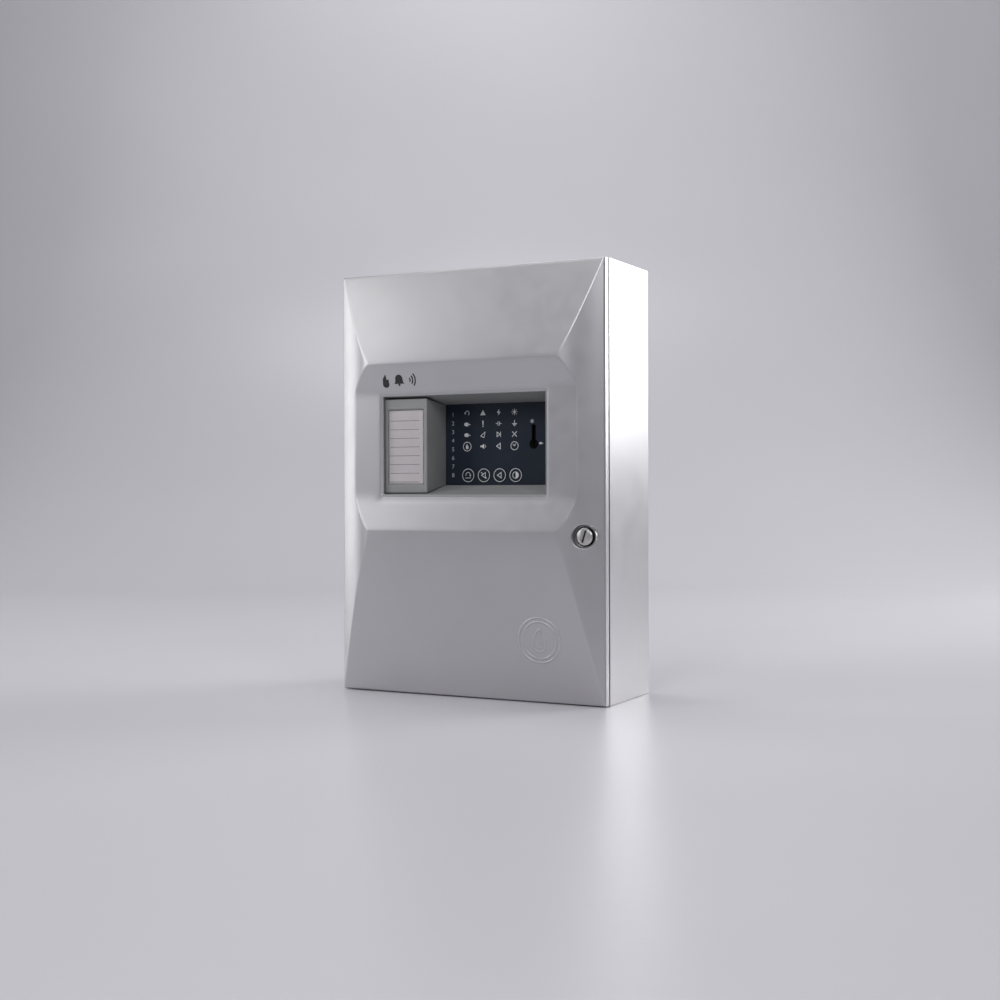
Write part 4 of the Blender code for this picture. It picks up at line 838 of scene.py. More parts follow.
def walk_round(edges):
    """The vertices along a closed run of edges, anticlockwise from the one nearest to -pi."""
    neighbours = {}
    for edge in edges:
        for vertex in edge.verts:
            neighbours.setdefault(vertex, []).append(edge.other_vert(vertex))
    start = min(neighbours, key=lock_angle)
    path = [start, min(neighbours[start], key=lock_angle)]
    while path[-1] is not start:
        path.append(next(v for v in neighbours[path[-1]] if v is not path[-2]))
    return path[:-1]


def join_round_lock(bm, edges, verts):
    """Join a ring round the lock to the edge of the hole left for it, corner to corner by their angle."""
    rim = walk_round(edges)
    seat = sorted(verts, key=lock_angle)
    rim_angles = [lock_angle(vertex) for vertex in rim] + [lock_angle(rim[0]) + 2 * math.pi]
    seat_angles = [lock_angle(vertex) for vertex in seat] + [lock_angle(seat[0]) + 2 * math.pi]
    i = j = 0
    while i < len(rim) or j < len(seat):
        first, last = rim[i % len(rim)], seat[j % len(seat)]
        if j == len(seat) or (i < len(rim) and rim_angles[i + 1] < seat_angles[j + 1]):
            i += 1
            bm.faces.new((first, rim[i % len(rim)], last))
        else:
            j += 1
            bm.faces.new((first, seat[j % len(seat)], last))


def make_door():
    """The sculpted shell: two skins and a rim, joined round the display opening and round the lock."""
    bm = bmesh.new()
    outer, inner = add_skins(bm)
    add_rim(bm, grid_border(outer), grid_border(inner))
    for vert in [vert for vert in bm.verts if not vert.link_faces]:
        bm.verts.remove(vert)
    opening_holes = [hole_edges(bm, in_opening, 0.014, front) for front in (True, False)]
    lock_holes = [hole_edges(bm, in_circle, 0.020, front) for front in (True, False)]
    opening = add_door_opening(bm)
    seat = add_lock_seat(bm)
    for edges, verts in zip(opening_holes, (opening[0], opening[-1])):
        border = [bm.edges.get(pair) for pair in zip(verts, verts[1:] + verts[:1])]
        bmesh.ops.triangle_fill(bm, use_beauty=True, edges=edges + border, normal=(0, -1, 0))
    for edges, verts in zip(lock_holes, (seat[0], seat[-1])):
        join_round_lock(bm, edges, verts)
    finish("door_skin", bm, "silver_paint", "door", "door_shell", angle=40)


def make_knuckles():
    """The two blocks inside the door's rim that hold each hinge pin."""
    x_span = (HINGE_X - 0.0004, HINGE_X + 0.0022)
    y_span = (NOTCH_FRONT_Y - 0.0015, RIM_BACK_Y - 0.0002)
    for name, z in zip(("lower", "upper"), HINGE_Z):
        bm = bmesh.new()
        for side in ENDS:
            add_block(bm, x_span, y_span, (z + side * NOTCH_HALF_HEIGHT, z + side * 0.0070), 0.0004)
        finish(f"hinge_knuckle_{name}", bm, "silver_paint", "door")


# The display recess.


POCKET = ((CARD_LOW.x - GAP, CARD_HIGH.x + GAP), (CARD_LOW.z - GAP, CARD_HIGH.z + GAP))
POCKET_BEVEL = 0.0012
HOLDER_FRONT = ((HOLDER_LOW.x, HOLDER_HIGH.x), (HOLDER_LOW.z, HOLDER_HIGH.z))
HOLDER_BACK = ((FLOOR[0][0] + 0.0005, HOLDER_HIGH.x), (FLOOR[1][0] + 0.0005, FLOOR[1][1] - 0.0005))
SCREW_X = (DISPLAY_LOW.x + SCREW_INSET, DISPLAY_HIGH.x - SCREW_INSET)
SCREW_Z = (DISPLAY_LOW.z + SCREW_INSET, DISPLAY_HIGH.z - SCREW_INSET)
DISPLAY_SCREWS = [(x, z) for x in SCREW_X for z in SCREW_Z]


def add_levels(bm, levels):
    """Skin a chain of round-cornered rectangles, each given as (spans, radius, y, grow)."""
    loops = [rounded_rectangle(*spans, radius, y, grow) for spans, radius, y, grow in levels]
    add_loops(bm, loops, cap_start=True, cap_end=True)


def tray_holes():
    """What the keys and the key switch take out of the tray's floor."""
    holes = bmesh.new()
    for node in numbered("button"):
        centre = box_of(node)[2]
        add_turned(holes, centre, "Y", [(FLOOR_Y - 0.002, 0.0074), (TRAY_BACK_Y + 0.002, 0.0074)], 40)
    low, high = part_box("key_switch_housing")
    margin = Vector((GAP, 0, GAP))
    add_box(holes, low - margin - Vector((0, 0.002, 0)), high + margin)
    return holes


def make_tray():
    """The moulded tray: sloping walls with rounded corners, a flange behind the door and four pillars."""
    bm = bmesh.new()
    flange_back = TRAY_FRONT_Y + TRAY_WALL
    levels = (
        (FLOOR, 0.0008, FLOOR_Y, -0.0004),
        (FLOOR, 0.0012, FLOOR_Y - 0.0004, 0.0),
        (MOUTH, 0.0016, TRAY_FRONT_Y + 0.0003, 0.0),
        (MOUTH, 0.0018, TRAY_FRONT_Y, 0.0003),
        (MOUTH, 0.0030, TRAY_FRONT_Y, TRAY_FLANGE - 0.0004),
        (MOUTH, 0.0030, TRAY_FRONT_Y + 0.0004, TRAY_FLANGE),
        (MOUTH, 0.0030, flange_back, TRAY_FLANGE),
        (MOUTH, 0.0020, flange_back, TRAY_WALL),
        (FLOOR, 0.0020, TRAY_BACK_Y - 0.0006, TRAY_WALL),
        (FLOOR, 0.0020, TRAY_BACK_Y, TRAY_WALL - 0.0006),
    )
    add_levels(bm, levels)
    tray = from_bmesh("tray_shell", bm, MATERIALS["grey_plastic"])
    cut_with(tray, tray_holes())
    show(tray, "door", "grey_plastic", "display_tray")
    pillars = bmesh.new()
    start, end = TRAY_BACK_Y + 0.0001, DISPLAY_LOW.y - GAP
    profile = [(start, 0.0036), (start + 0.0008, 0.0026), (end - 0.0002, 0.0025), (end, 0.0023)]
    for x, z in DISPLAY_SCREWS:
        add_turned(pillars, (x, 0, z), "Y", profile, 20)
    finish("tray_pillars", pillars, "grey_plastic", "door")


def make_label_holder():
    """The zone list's box: a face with rounded edges and a sunk pocket with a sloping border."""
    bm = bmesh.new()
    front, back = HOLDER_LOW.y, HOLDER_HIGH.y
    pocket_y = CARD_HIGH.y + GAP
    wall, soft = 0.0018, 0.0009
    levels = [
        (HOLDER_BACK, 0.0004, pocket_y + 0.0020, -wall),
        (HOLDER_BACK, 0.0004, back, -wall),
        (HOLDER_BACK, 0.0008, back, 0.0),
    ]
    for cos, sin in quarter_turn(4):
        levels.append((HOLDER_FRONT, 0.0010, front + soft - soft * sin, soft * cos - soft))
    levels += [
        (POCKET, 0.0006, front, POCKET_BEVEL),
        (POCKET, 0.0006, front + 0.0001, POCKET_BEVEL - 0.0001),
        (POCKET, 0.0004, front + 0.0013, 0.0001),
        (POCKET, 0.0004, pocket_y, 0.0),
    ]
    add_levels(bm, levels)
    finish("holder_box", bm, "grey_plastic", "door", "label_holder", angle=28)


def card_y(z):
    """The card's front, which bows out a hair at half height."""
    share = (z - CARD_LOW.z) / (CARD_HIGH.z - CARD_LOW.z)
    return CARD_LOW.y + 0.0001 - 0.0001 * math.sin(math.pi * share)


def make_card():
    """The zone card with its ruled lines, which stop short of the right edge."""
    bm = bmesh.new()
    steps, margin, thick = 12, 0.0002, 0.00015
    left, right = CARD_LOW.x + margin, CARD_HIGH.x - margin
    loops = []
    for i in range(steps + 1):
        z = CARD_LOW.z + margin + (CARD_HIGH.z - CARD_LOW.z - 2 * margin) * i / steps
        y = card_y(z)
        loops.append([(left, y, z), (right, y, z), (right, y + thick, z), (left, y + thick, z)])
    add_loops(bm, loops, cap_start=True, cap_end=True)
    finish("zone_card", bm, "card", "door", "label_card")

    rules = bmesh.new()
    spacing = (CARD_HIGH.z - CARD_LOW.z) * 0.1195
    for i in range(8):
        z = CARD_HIGH.z - 0.0098 - i * spacing
        face = card_y(z) - 0.00005
        x_span = (CARD_LOW.x + 0.0012, CARD_HIGH.x - 0.0042)
        add_block(rules, x_span, (face, face + 0.0001), about(z, 0.00018))
    finish("card_rules", rules, "card", "door", material=GREY_INK)


# Printing. Strokes and filled outlines lie flat in the plane of the overlay's front face.


PRINT_Y = OVERLAY_LOW.y - 0.00003
TENTH = 0.0001


def put(points, at, size=1.0):
    return [(at[0] + x * size, at[1] + z * size) for x, z in points]


def add_stroke(bm, points, width, closed=False, y=PRINT_Y):
    """A flat ribbon with mitred corners along a line in the XZ plane."""
    count = len(points)
    pairs = []
    for i in range(count):
        here = Vector(points[i])
        before = Vector(points[i - 1]) if i or closed else None
        after = Vector(points[(i + 1) % count]) if i < count - 1 or closed else None
        first = (here - before).normalized() if before is not None else (after - here).normalized()
        second = (after - here).normalized() if after is not None else first
        along = (first + second).normalized() if (first + second).length > 1e-6 else first
        normal = Vector((-along.y, along.x))
        reach = width / 2 / max(normal.dot(Vector((-first.y, first.x))), 0.4)
        pairs.append([bm.verts.new((p.x, y, p.y)) for p in (here + normal * reach, here - normal * reach)])
    for i in range(count if closed else count - 1):
        a, b = pairs[i], pairs[(i + 1) % count]
        bm.faces.new((a[0], a[1], b[1], b[0]))


def add_patch(bm, points):
    """A filled outline in the XZ plane."""
    bm.faces.new([bm.verts.new((x, PRINT_Y, z)) for x, z in points])


def arc(centre, radius, start, end, steps=24):
    """Points on an arc, with angles in degrees from +X towards +Z."""
    points = []
    for i in range(steps + 1):
        angle = math.radians(start + (end - start) * i / steps)
        points.append((centre[0] + radius * math.cos(angle), centre[1] + radius * math.sin(angle)))
    return points


def ring(centre, radius, steps=40):
    return arc(centre, radius, 0, 360, steps)[:-1]


# Parts of a symbol, in tenths of a millimetre about its middle. A width of 0 means filled.


def line(width, *points):
    return width, points, False


def loop(width, *points):
    return width, points, True


def filled(*points):
    return 0, points, True


def spoke(angle):
    """One ray of the sun, at an angle in degrees."""
    way = math.cos(math.radians(angle)), math.sin(math.radians(angle))
    return line(5, *[(radius * way[0], radius * way[1]) for radius in (20, 31)])


CENTRE = (0, 0)
TURN_BACK = [line(6.2, *arc(CENTRE, 21, -60, 170)), filled((-34, 6), (-8, 6), (-21, -14))]
TRIANGLE = [filled((-29, -23), (29, -23), (0, 27))]
BOLT = [filled((6, 32), (-20, -3), (-3, -3), (-7, -32), (20, 5), (3, 5))]
SUN = [filled(*ring(CENTRE, 14, 16)), *map(spoke, range(0, 360, 45))]
FIST = [(-30, -11), (-10, -20), (12, -18), (16, 8), (-4, 18), (-30, 9)]
POINTER = [filled(*FIST), line(8, (6, 2), (34, -6))]
ALERT = [filled((-5, -10), (5, -10), (7, 30), (-7, 30)), filled(*ring((0, -23), 6, 12))]
PLATES = [line(6, (side * 8, -20), (side * 8, 20)) for side in ENDS]
CONTACT = [*PLATES, *[line(6, (side * 8, 0), (side * 30, 0)) for side in ENDS]]
BARS = [line(6, (-half, level), (half, level)) for level, half in ((-4, 26), (-14, 17), (-24, 8))]
EARTH = [line(6.2, (0, 28), (0, -2)), *BARS]
CONE = [loop(6, (-24, -12), (10, -28), (22, 24))]
GATE = [loop(6, (-18, -22), (-18, 22), (14, 0)), line(6, (19, -24), (19, 24))]
CROSS = [line(7, (-24, -24 * side), (24, 24 * side)) for side in ENDS]
FLAME = [filled(*arc((0, -10), 15, 200, 340, 10), (12, 8), (4, 3), (1, 26), (-13, 8))]
RINGED_FLAME = [loop(6, *ring(CENTRE, 42)), *FLAME]
HORN = [
    filled((-28, -8), (-10, -8), (12, -26), (12, 26), (-10, 8), (-28, 8)),
    line(5, *arc((10, 0), 18, -45, 45, 8)),
]
OPEN_HORN = [loop(7, (-24, 0), (16, -26), (16, 26))]
CLOCK = [loop(6, *ring(CENTRE, 38)), line(6, (-18, 14), (0, 0), (12, 20))]
HALF = [loop(6, *ring(CENTRE, 30)), filled(*arc(CENTRE, 30, -90, 90, 16))]
MUTED = [*OPEN_HORN, line(7, (-30, 30), (30, -30))]
BASE_LINE = line(6, (-30, -24), (30, -24))
RESTART = [line(6, *arc((0, 4), 24, -20, 200, 20)), BASE_LINE, filled((12, 2), (34, 2), (23, -14))]
BELL_SIDES = [(-56, -34), (-43, -18), *arc((0, 12), 40, 180, 0, 14), (43, -18), (56, -34)]
BELL = [filled(*BELL_SIDES), filled(*ring((0, -43), 12, 14))]
WAVES = [line(14, *arc(CENTRE, radius, -42, 42, 12)) for radius in (26, 54, 82)]

COLUMNS_X = (-0.0162, 0.0008, 0.0175, 0.0341)
ROWS_Z = (0.2658, 0.2553, 0.2451, 0.2341)
SIGNS = (
    (TURN_BACK, TRIANGLE, BOLT, SUN),
    (POINTER, ALERT, CONTACT, EARTH),
    (POINTER, CONE, GATE, CROSS),
    (RINGED_FLAME, HORN, OPEN_HORN, CLOCK),
)
KEY_SIGNS = (RESTART, MUTED, OPEN_HORN, HALF)
KEY_RING = 0.0042
KEY_TOP = 0.2534
DIGIT_AT = (-0.0315, 0.2645)
DIGIT_SPACING = 0.00825


def add_sign(bm, parts, at, scale=1.0):
    """Draw a symbol's parts about a point."""
    for width, points, closed in parts:
        placed = put(points, at, TENTH * scale)
        if width:
            add_stroke(bm, placed, width * TENTH, closed)
        else:
            add_patch(bm, placed)


def make_digit(value):
    """One zone number, as a flat mesh in front of the overlay."""
    name = f"zone_number_{value}"
    curve = bpy.data.curves.new(name, "FONT")
    curve.body = str(value)
    curve.size = 0.0056
    curve.align_x = curve.align_y = "CENTER"
    curve.offset = 0.00005
    text = bpy.data.objects.new(name, curve)
    bpy.context.scene.collection.objects.link(text)
    mesh = bpy.data.meshes.new_from_object(text.evaluated_get(bpy.context.evaluated_depsgraph_get()))
    bpy.data.objects.remove(text, do_unlink=True)
    place = Matrix.Translation((DIGIT_AT[0], PRINT_Y, DIGIT_AT[1] - (value - 1) * DIGIT_SPACING))
    mesh.transform(place @ Matrix.Rotation(math.pi / 2, 4, "X"))
    show(add_object(name, mesh, DIM_INK), "door", "overlay_foil")


def make_overlay():
    """The printed foil: its symbols, the near-black surround of the access key, partly painted shade round
    the keyhole, and the zone numbers.
    """
    soften("keypad_overlay", "door", "overlay_foil", 0.00012, 2)
    signs, surround = bmesh.new(), bmesh.new()
    for z, row in zip(ROWS_Z, SIGNS):
        for x, parts in zip(COLUMNS_X, row):
            add_sign(signs, parts, (x, z))
    key = box_of("key_rotor")[2]
    add_sign(signs, SUN, (key.x - 0.0017, key.z + 0.0212), 0.62)
    add_sign(signs, POINTER, (key.x + 0.0074, key.z + 0.0006), 0.62)
    finish("overlay_print", signs, "overlay_foil", "door", material=WHITE_INK)
    right, left = [(key.x + side * KEY_RING * math.cos(math.radians(65)), KEY_TOP) for side in (1, -1)]
    outline = [*arc((key.x, key.z), KEY_RING, 115, 425, 40), right, left]
    add_stroke(surround, outline, 0.0007, closed=True)
    # The surround is near-black: partly painted shade at the keyhole's edge.
    finish("key_surround", surround, "overlay_foil", "door", material=BLACK_WITH_PAINTED_SHADE)
    for value in range(1, 9):
        make_digit(value)


# The keys.


DOME = 0.00012
KEY_EDGE = 0.0006


def key_profile(low_y, high_y, radius):
    """A slightly domed key with a rounded edge, and the stem behind it."""
    soft, stem = 0.0005, 0.0017
    flat, back = radius - KEY_EDGE, FLOOR_Y + 0.0002
    profile = [(low_y, radius * 0.08)]
    profile += [(low_y + DOME * (i / 5) ** 2, flat * i / 5) for i in range(1, 6)]
    profile += [(low_y + DOME + soft - soft * cos, flat + KEY_EDGE * sin) for cos, sin in quarter_turn(4)[1:]]
    return [*profile, (back, radius), (back, stem), (high_y - 0.0002, stem), (high_y, stem - 0.0002)]


def make_buttons():
    """The four keys. Each carries its symbol."""
    for index, (node, parts) in enumerate(zip(numbered("button"), KEY_SIGNS), 1):
        low, high, centre = box_of(node)
        radius = (high.x - low.x) / 2
        key, sign = bmesh.new(), bmesh.new()
        add_turned(key, centre, "Y", key_profile(low.y, high.y, radius), 48)
        finish(f"key_{index}", key, "overlay_foil", node, node)
        middle = (centre.x, centre.z)
        add_sign(sign, parts, middle)
        add_stroke(sign, ring(middle, radius - 0.0009, 56), 0.0006, closed=True)
        for vert in sign.verts:
            reach = math.hypot(vert.co.x - centre.x, vert.co.z - centre.z) / (radius - KEY_EDGE)
            vert.co.y = low.y - 0.00004 + DOME * min(reach, 1.0) ** 2
        finish(f"key_sign_{index}", sign, "overlay_foil", node, material=WHITE_INK)


def make_key_switch():
    """The access key switch: a housing and the rotor that turns in it."""
    for node, body, width in (("key_switch_housing", "door", 0.0003), ("key_rotor", "access_key", 0.0002)):
        piece = soften(node, body, "black_plastic", width, 3)
        # The key switch's pieces are near-black: their own black plus painted shade in the keyhole.
        piece.data.materials[0] = BLACK_WITH_PAINTED_SHADE


# The cam lock.


THREAD = 0.0010


def make_barrel():
    """The lock's flanged barrel: a ring round the plug, a hollow flange and a threaded body."""
    bm = bmesh.new()
    flange, seat, edge, soft = BARREL_LOW.y, BARREL_LOW.y + 0.0020, 0.0091, 0.0008
    profile = [(seat, 0.0070), (seat, edge)]
    profile += [(flange + soft - soft * sin, edge - soft + soft * cos) for cos, sin in quarter_turn(4)]
    profile += stepped(flange, 1, (0, 0.0082), (0.0003, 0.0080), (0.0017, 0.0080), (0.0017, 0.0053))
    profile += stepped(BARREL_HIGH.y, -1, (0, 0.0053), (0, 0.0066), (0.0003, 0.0069))
    for i in range(int((BARREL_HIGH.y - seat - 0.003) / THREAD)):
        start = BARREL_HIGH.y - 0.0006 - i * THREAD
        profile += [(start, 0.0070), (start - THREAD * 0.5, 0.0067)]
    add_turned(bm, LOCK, "Y", profile, 64, closed=True)
    # The barrel's ring is near-black: black plastic plus painted shade in the gap round the plug.
    finish("barrel", bm, "black_plastic", "door", "lock_barrel", material=BLACK_WITH_PAINTED_SHADE, angle=45)


def make_plug():
    """The chromed plug with its slot cut in."""
    bm, slot = bmesh.new(), bmesh.new()
    face, tail = PLUG_LOW.y, PLUG_HIGH.y
    radius, chamfer = 0.0079, 0.0010
    shoulder = BOX_LOW.y + 0.0022
    profile = stepped(face, 1, (0, radius - chamfer - 0.0001), (0.0001, radius - chamfer + 0.0001))
    profile += stepped(face, 1, (chamfer, radius), (0.0020, radius), (0.0020, 0.0050))
    profile += [(shoulder, 0.0050), (shoulder, 0.0036)]
    profile += stepped(tail, -1, (0.0024, 0.0036), (0.0024, 0.0024), (0, 0.0024))
    add_turned(bm, LOCK, "Y", profile, 64)
    plug = from_bmesh("slotted_plug", bm, MATERIALS["lock_chrome"])
    add_box(slot, (-0.0008, -0.0030, -0.0056), (0.0008, 0.0013, 0.0056), 0.0003, 2)
    slot.transform(Matrix.Translation((LOCK.x, face, LOCK.z)) @ Matrix.Rotation(LOCK_SLOT_TILT, 4, "Y"))
    # The slot's cut faces take the dark lining: painted shade in the slot, with some real tarnish.
    cut_with(plug, slot, SLOT_SHADE_AND_TARNISH)
    show(plug, "lock", "lock_chrome", "lock_plug")


def add_pan_head(bm, x, y, z, radius, height, facing):
    """A cross-headed screw's head that stands on y and faces +Y (1) or -Y (-1)."""
    rings = [(y, radius)]
    for i in range(5):
        angle = math.pi / 2 * i / 5
        rings.append((y + facing * height * (0.35 + 0.65 * math.sin(angle)), radius * math.cos(angle * 0.72)))
    loops = [circle((x, at, z), "Y", size, 24) for at, size in rings]
    top_y, top_radius = rings[-1]
    arm, half = top_radius * 0.72, top_radius * 0.27
    cross, sunk = [], []
    for i in range(24):
        angle = 2 * math.pi * i / 24
        reach = half + (arm - half) * abs(math.cos(2 * angle)) ** 6
        way = Vector((math.cos(angle), 0, math.sin(angle)))
        cross.append(Vector((x, top_y, z)) + way * reach)
        sunk.append(Vector((x, y + facing * height * 0.45, z)) + way * reach * 0.55)
    add_loops(bm, loops, cap_start=True)
    add_loops(bm, [loops[-1], cross, sunk], cap_end=True)


def make_lock():
    """The cam lock: its barrel and nut on the door, and the plug, cam and screw that turn."""
    make_barrel()
    make_plug()
    soften("lock_cam", "lock", "zinc_steel", 0.0003, 2)
    low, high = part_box("lock_cam_screw")
    bm = bmesh.new()
    add_pan_head(bm, LOCK.x, low.y, LOCK.z, 0.0038, high.y - low.y, 1)
    finish("cam_screw", bm, "zinc_steel", "lock", "lock_cam_screw")
    soften("lock_nut", "door", "zinc_steel", 0.0004, 2)


# The cabinet, and the shared shapes of what is inside.


def make_cabinet():
    """The folded steel box, its bends rounded."""
    soften("back_box", "cabinet", "silver_paint", 0.0007, 3, "cabinet_box")


def add_prism(bm, outline, start, end, chamfer):
    """An outline of (x, z) points pushed along Y, with its far edge shrunk towards the middle."""
    spots = [Vector(point) for point in outline]
    middle = sum(spots, Vector((0, 0))) / len(spots)
    way = chamfer if end > start else -chamfer
    loops = []
    for y, shrink in ((start, 0.0), (end - way, 0.0), (end, chamfer)):
        shrunk = [middle + (spot - middle) * (1 - shrink / (spot - middle).length) for spot in spots]
        loops.append([(spot.x, y, spot.y) for spot in shrunk])
    add_loops(bm, loops, cap_start=True, cap_end=True)


def add_slotted_screw(bm, x, z, radius, front, back, turn):
    """A terminal screw: a disc with two half-moons on it that leave the slot between them."""
    floor = front + (back - front) * 0.35
    add_turned(bm, (x, 0, z), "Y", [(back, radius), (floor, radius)], 16)
    start = math.degrees(math.asin(0.28))
    for side in (0, 180):
        outline = arc((x, z), radius, start + side + turn, 180 - start + side + turn, 8)
        add_prism(bm, outline, floor, front, radius * 0.14)


def add_leads(bm, at, size, y, facing, pins, side_axis):
    """Gull-wing leads on two sides of a chip: each is a step at the body and a thin foot."""
    x, z = at
    width, height, thick = size
    across, along = (height, width) if side_axis == "z" else (width, height)
    pitch = along / (pins + 0.6)
    for i in range(pins):
        beside = about((i - (pins - 1) / 2) * pitch, pitch * 0.24)
        for side in ENDS:
            for start, end, level in ((0.0, 0.0005, 0.45), (0.0005, 0.0011, 0.12)):
                outwards = (side * (across / 2 + start), side * (across / 2 + end))
                spans = (beside, outwards) if side_axis == "z" else (outwards, beside)
                x_span, z_span = [(span[0] + base, span[1] + base) for span, base in zip(spans, (x, z))]
                y_span = (y + facing * 0.00005, y + facing * (thick * level + 0.0001))
                add_block(bm, x_span, y_span, z_span)


def add_chip(bodies, leads, at, size, y, facing, pins, lead_sides="z"):
    """A chip on a board's face at y, standing out towards facing, with leads on two or four sides."""
    x, z = at
    width, height, thick = size
    far = y + facing * thick
    low, high = (x - width / 2, 0, z - height / 2), (x + width / 2, 0, z + height / 2)
    add_slab(bodies, low, high, 1, 0.0003, soft_ends(y + facing * 0.0001, far, 0.0002), 2)
    mark = (low[0] + 0.0009, 0, low[2] + 0.0009)
    add_turned(bodies, mark, "Y", stepped(far, facing, (0, 0.0005), (0.00008, 0.0004)), 12)
    for side_axis in lead_sides:
        add_leads(leads, at, size, y, facing, pins, side_axis)


def add_passive(bodies, ends, x, z, y, facing, upright=False):
    """A surface-mount resistor or capacitor: a body with a metal cap at each end."""
    half_x, half_z = (0.000625, 0.0010) if upright else (0.0010, 0.000625)
    cap_x, cap_z = (half_x, half_z * 0.32) if upright else (half_x * 0.32, half_z)
    low_y, high_y = sorted((y + facing * 0.00005, y + facing * 0.0007))
    add_block(bodies, about(x, half_x * 0.98), (low_y, high_y), about(z, half_z * 0.98))
    grown = 0.00004
    y_span = (low_y - grown, high_y + grown)
    for side in ENDS:
        x_span = about(x + side * (half_x - cap_x), cap_x + grown)
        add_block(ends, x_span, y_span, about(z + side * (half_z - cap_z), cap_z + grown))


def add_joint(bm, x, z, y):
    """A solder joint: a small cone that runs up to a wire's end."""
    profile = stepped(y, 1, (0, 0.0009), (0.0003, 0.0006), (0.0008, 0.0003), (0.0011, 0.00028))
    add_turned(bm, (x, 0, z), "Y", profile, 10)


# The control board.


BOARD_Y = BOARD_LOW.y
CHIP_SIZE = (0.0098, 0.0039, 0.0017)
CHIPS_AT = (
    (-0.100, 0.292),
    (-0.100, 0.276),
    (-0.077, 0.300),
    (-0.020, 0.302),
    (0.004, 0.302),
    (0.028, 0.302),
)
CANS_AT = ((-0.008, 0.268), (-0.024, 0.268), (-0.008, 0.230), (-0.024, 0.230), (0.050, 0.276))
PASSIVE_ROWS_Z = (0.3255, 0.3195, 0.3135)
STRIPS = (
    ("zone_terminals", 16, 0.005, "terminal_plastic"),
    ("output_terminals", 12, 0.005, "terminal_plastic"),
    ("mains_terminals", 3, 0.010, "grey_plastic"),
)


def make_board():
    """The board with rounded corners, its four screws and its hexagonal standoffs."""
    bm, screws = bmesh.new(), bmesh.new()
    add_slab(bm, BOARD_LOW, BOARD_HIGH, 1, 0.0015, soft_ends(BOARD_LOW.y, BOARD_HIGH.y, 0.0001))
    finish("board_panel", bm, "circuit_board", "cabinet", "main_board")
    for node in numbered("board_standoff"):
        soften(node, "cabinet", "zinc_steel", 0.0003, 2)
        centre = box_of(node)[2]
        add_pan_head(screws, centre.x, BOARD_Y, centre.z, 0.0030, 0.0019, -1)
    finish("board_screws", screws, "zinc_steel", "cabinet")


def make_strips():
    """Terminal strips, with a slotted screw in each well and a wire clamp in each mouth."""
    screws, clamps, block = bmesh.new(), bmesh.new(), bmesh.new()
    for node, ways, pitch, slot in STRIPS:
        soften(node, "cabinet", slot, 0.0002, 2)
        low, high, centre = box_of(node)
        for i in range(ways):
            x = low.x + (i + 0.5) * pitch
            turn = math.degrees(0.5 + 1.3 * i)
            add_slotted_screw(screws, x, centre.z, pitch * 0.30, low.y + 0.0011, low.y + 0.0039, turn)
            for share, way in ((0.45, 0.0003), (0.85, -0.0003)):
                near = low.y + (high.y - low.y) * share
                y_span = (near + way * 0.3, near + way * 1.6)
                add_block(clamps, about(x, pitch * 0.27), y_span, (high.z - 0.0038, high.z - 0.0008))
    finish("terminal_screws", screws, "zinc_steel", "cabinet")
    finish("terminal_clamps", clamps, "zinc_steel", "cabinet")
    low, high, centre = box_of("battery_terminals")
    add_slab(block, low, high, 1, 0.0006, soft_ends(low.y, high.y, 0.0004))
    for x in (low.x + 0.003, high.x - 0.003):
        add_turned(block, (x, 0, centre.z), "Y", stepped(low.y, -1, (-0.0001, 0.0024), (0.00025, 0.0023)), 20)
    finish("battery_block", block, "terminal_plastic", "cabinet", "battery_terminals")


def make_relays():
    """Two cased relays with a printed coil sign."""
    marks = bmesh.new()
    for node in ("relay_fire", "relay_fault"):
        low, high, centre = box_of(node)
        bm = bmesh.new()
        add_slab(bm, low, high, 1, 0.0008, soft_ends(high.y, low.y, 0.0005))
        for side in ENDS:
            x_span = about(centre.x + side * 0.0075, 0.0008)
            y_span = (low.y - 0.00015, low.y + 0.0004)
            add_block(bm, x_span, y_span, (high.z - 0.0022, high.z - 0.0014), 0.0001, 1)
        finish(f"{node}_case", bm, "black_plastic", "cabinet", node)
        at = (centre.x, centre.z)
        level = low.y - 0.00004
        frame_corners = [(-0.0065, -0.004), (0.0065, -0.004), (0.0065, 0.003), (-0.0065, 0.003)]
        add_stroke(marks, put(frame_corners, at), 0.0003, closed=True, y=level)
        add_stroke(marks, put([(-0.004, 0), (0.004, 0)], at), 0.0003, y=level)
    finish("relay_marks", marks, "black_plastic", "cabinet", material=WHITE_INK)


def make_chips():
    """The processor and the small chips."""
    processor, chips, leads = bmesh.new(), bmesh.new(), bmesh.new()
    centre = box_of("processor_chip")[2]
    size = (0.0138, 0.0138, 0.0016)
    add_chip(processor, leads, (centre.x, centre.z), size, BOARD_Y, -1, 16, "zx")
    finish("processor_case", processor, "black_plastic", "cabinet", "processor_chip")
    for at in CHIPS_AT:
        add_chip(chips, leads, at, CHIP_SIZE, BOARD_Y, -1, 8)
    finish("board_chips", chips, "black_plastic", "cabinet")
    finish("board_leads", leads, "zinc_steel", "cabinet")


def make_passives():
    """Rows of small resistors and ceramic capacitors."""
    dark, tan, caps = bmesh.new(), bmesh.new(), bmesh.new()
    for row, z in enumerate(PASSIVE_ROWS_Z):
        for i in range(20):
            x = -0.1175 + i * 0.0046 + row * 0.0007
            add_passive(dark if (i + row) % 3 else tan, caps, x, z, BOARD_Y, -1, row == 1)
    for i in range(9):
        x = -0.118 + i * 0.0038
        add_passive(dark, caps, x, 0.2640, BOARD_Y, -1, True)
        add_passive(tan, caps, x + 0.044, 0.2660, BOARD_Y, -1, True)
    finish("board_resistors", dark, "black_plastic", "cabinet")
    finish("board_ceramics", tan, "ribbon_grey", "cabinet", material=TAN_CERAMIC)
    finish("board_solder", caps, "zinc_steel", "cabinet")


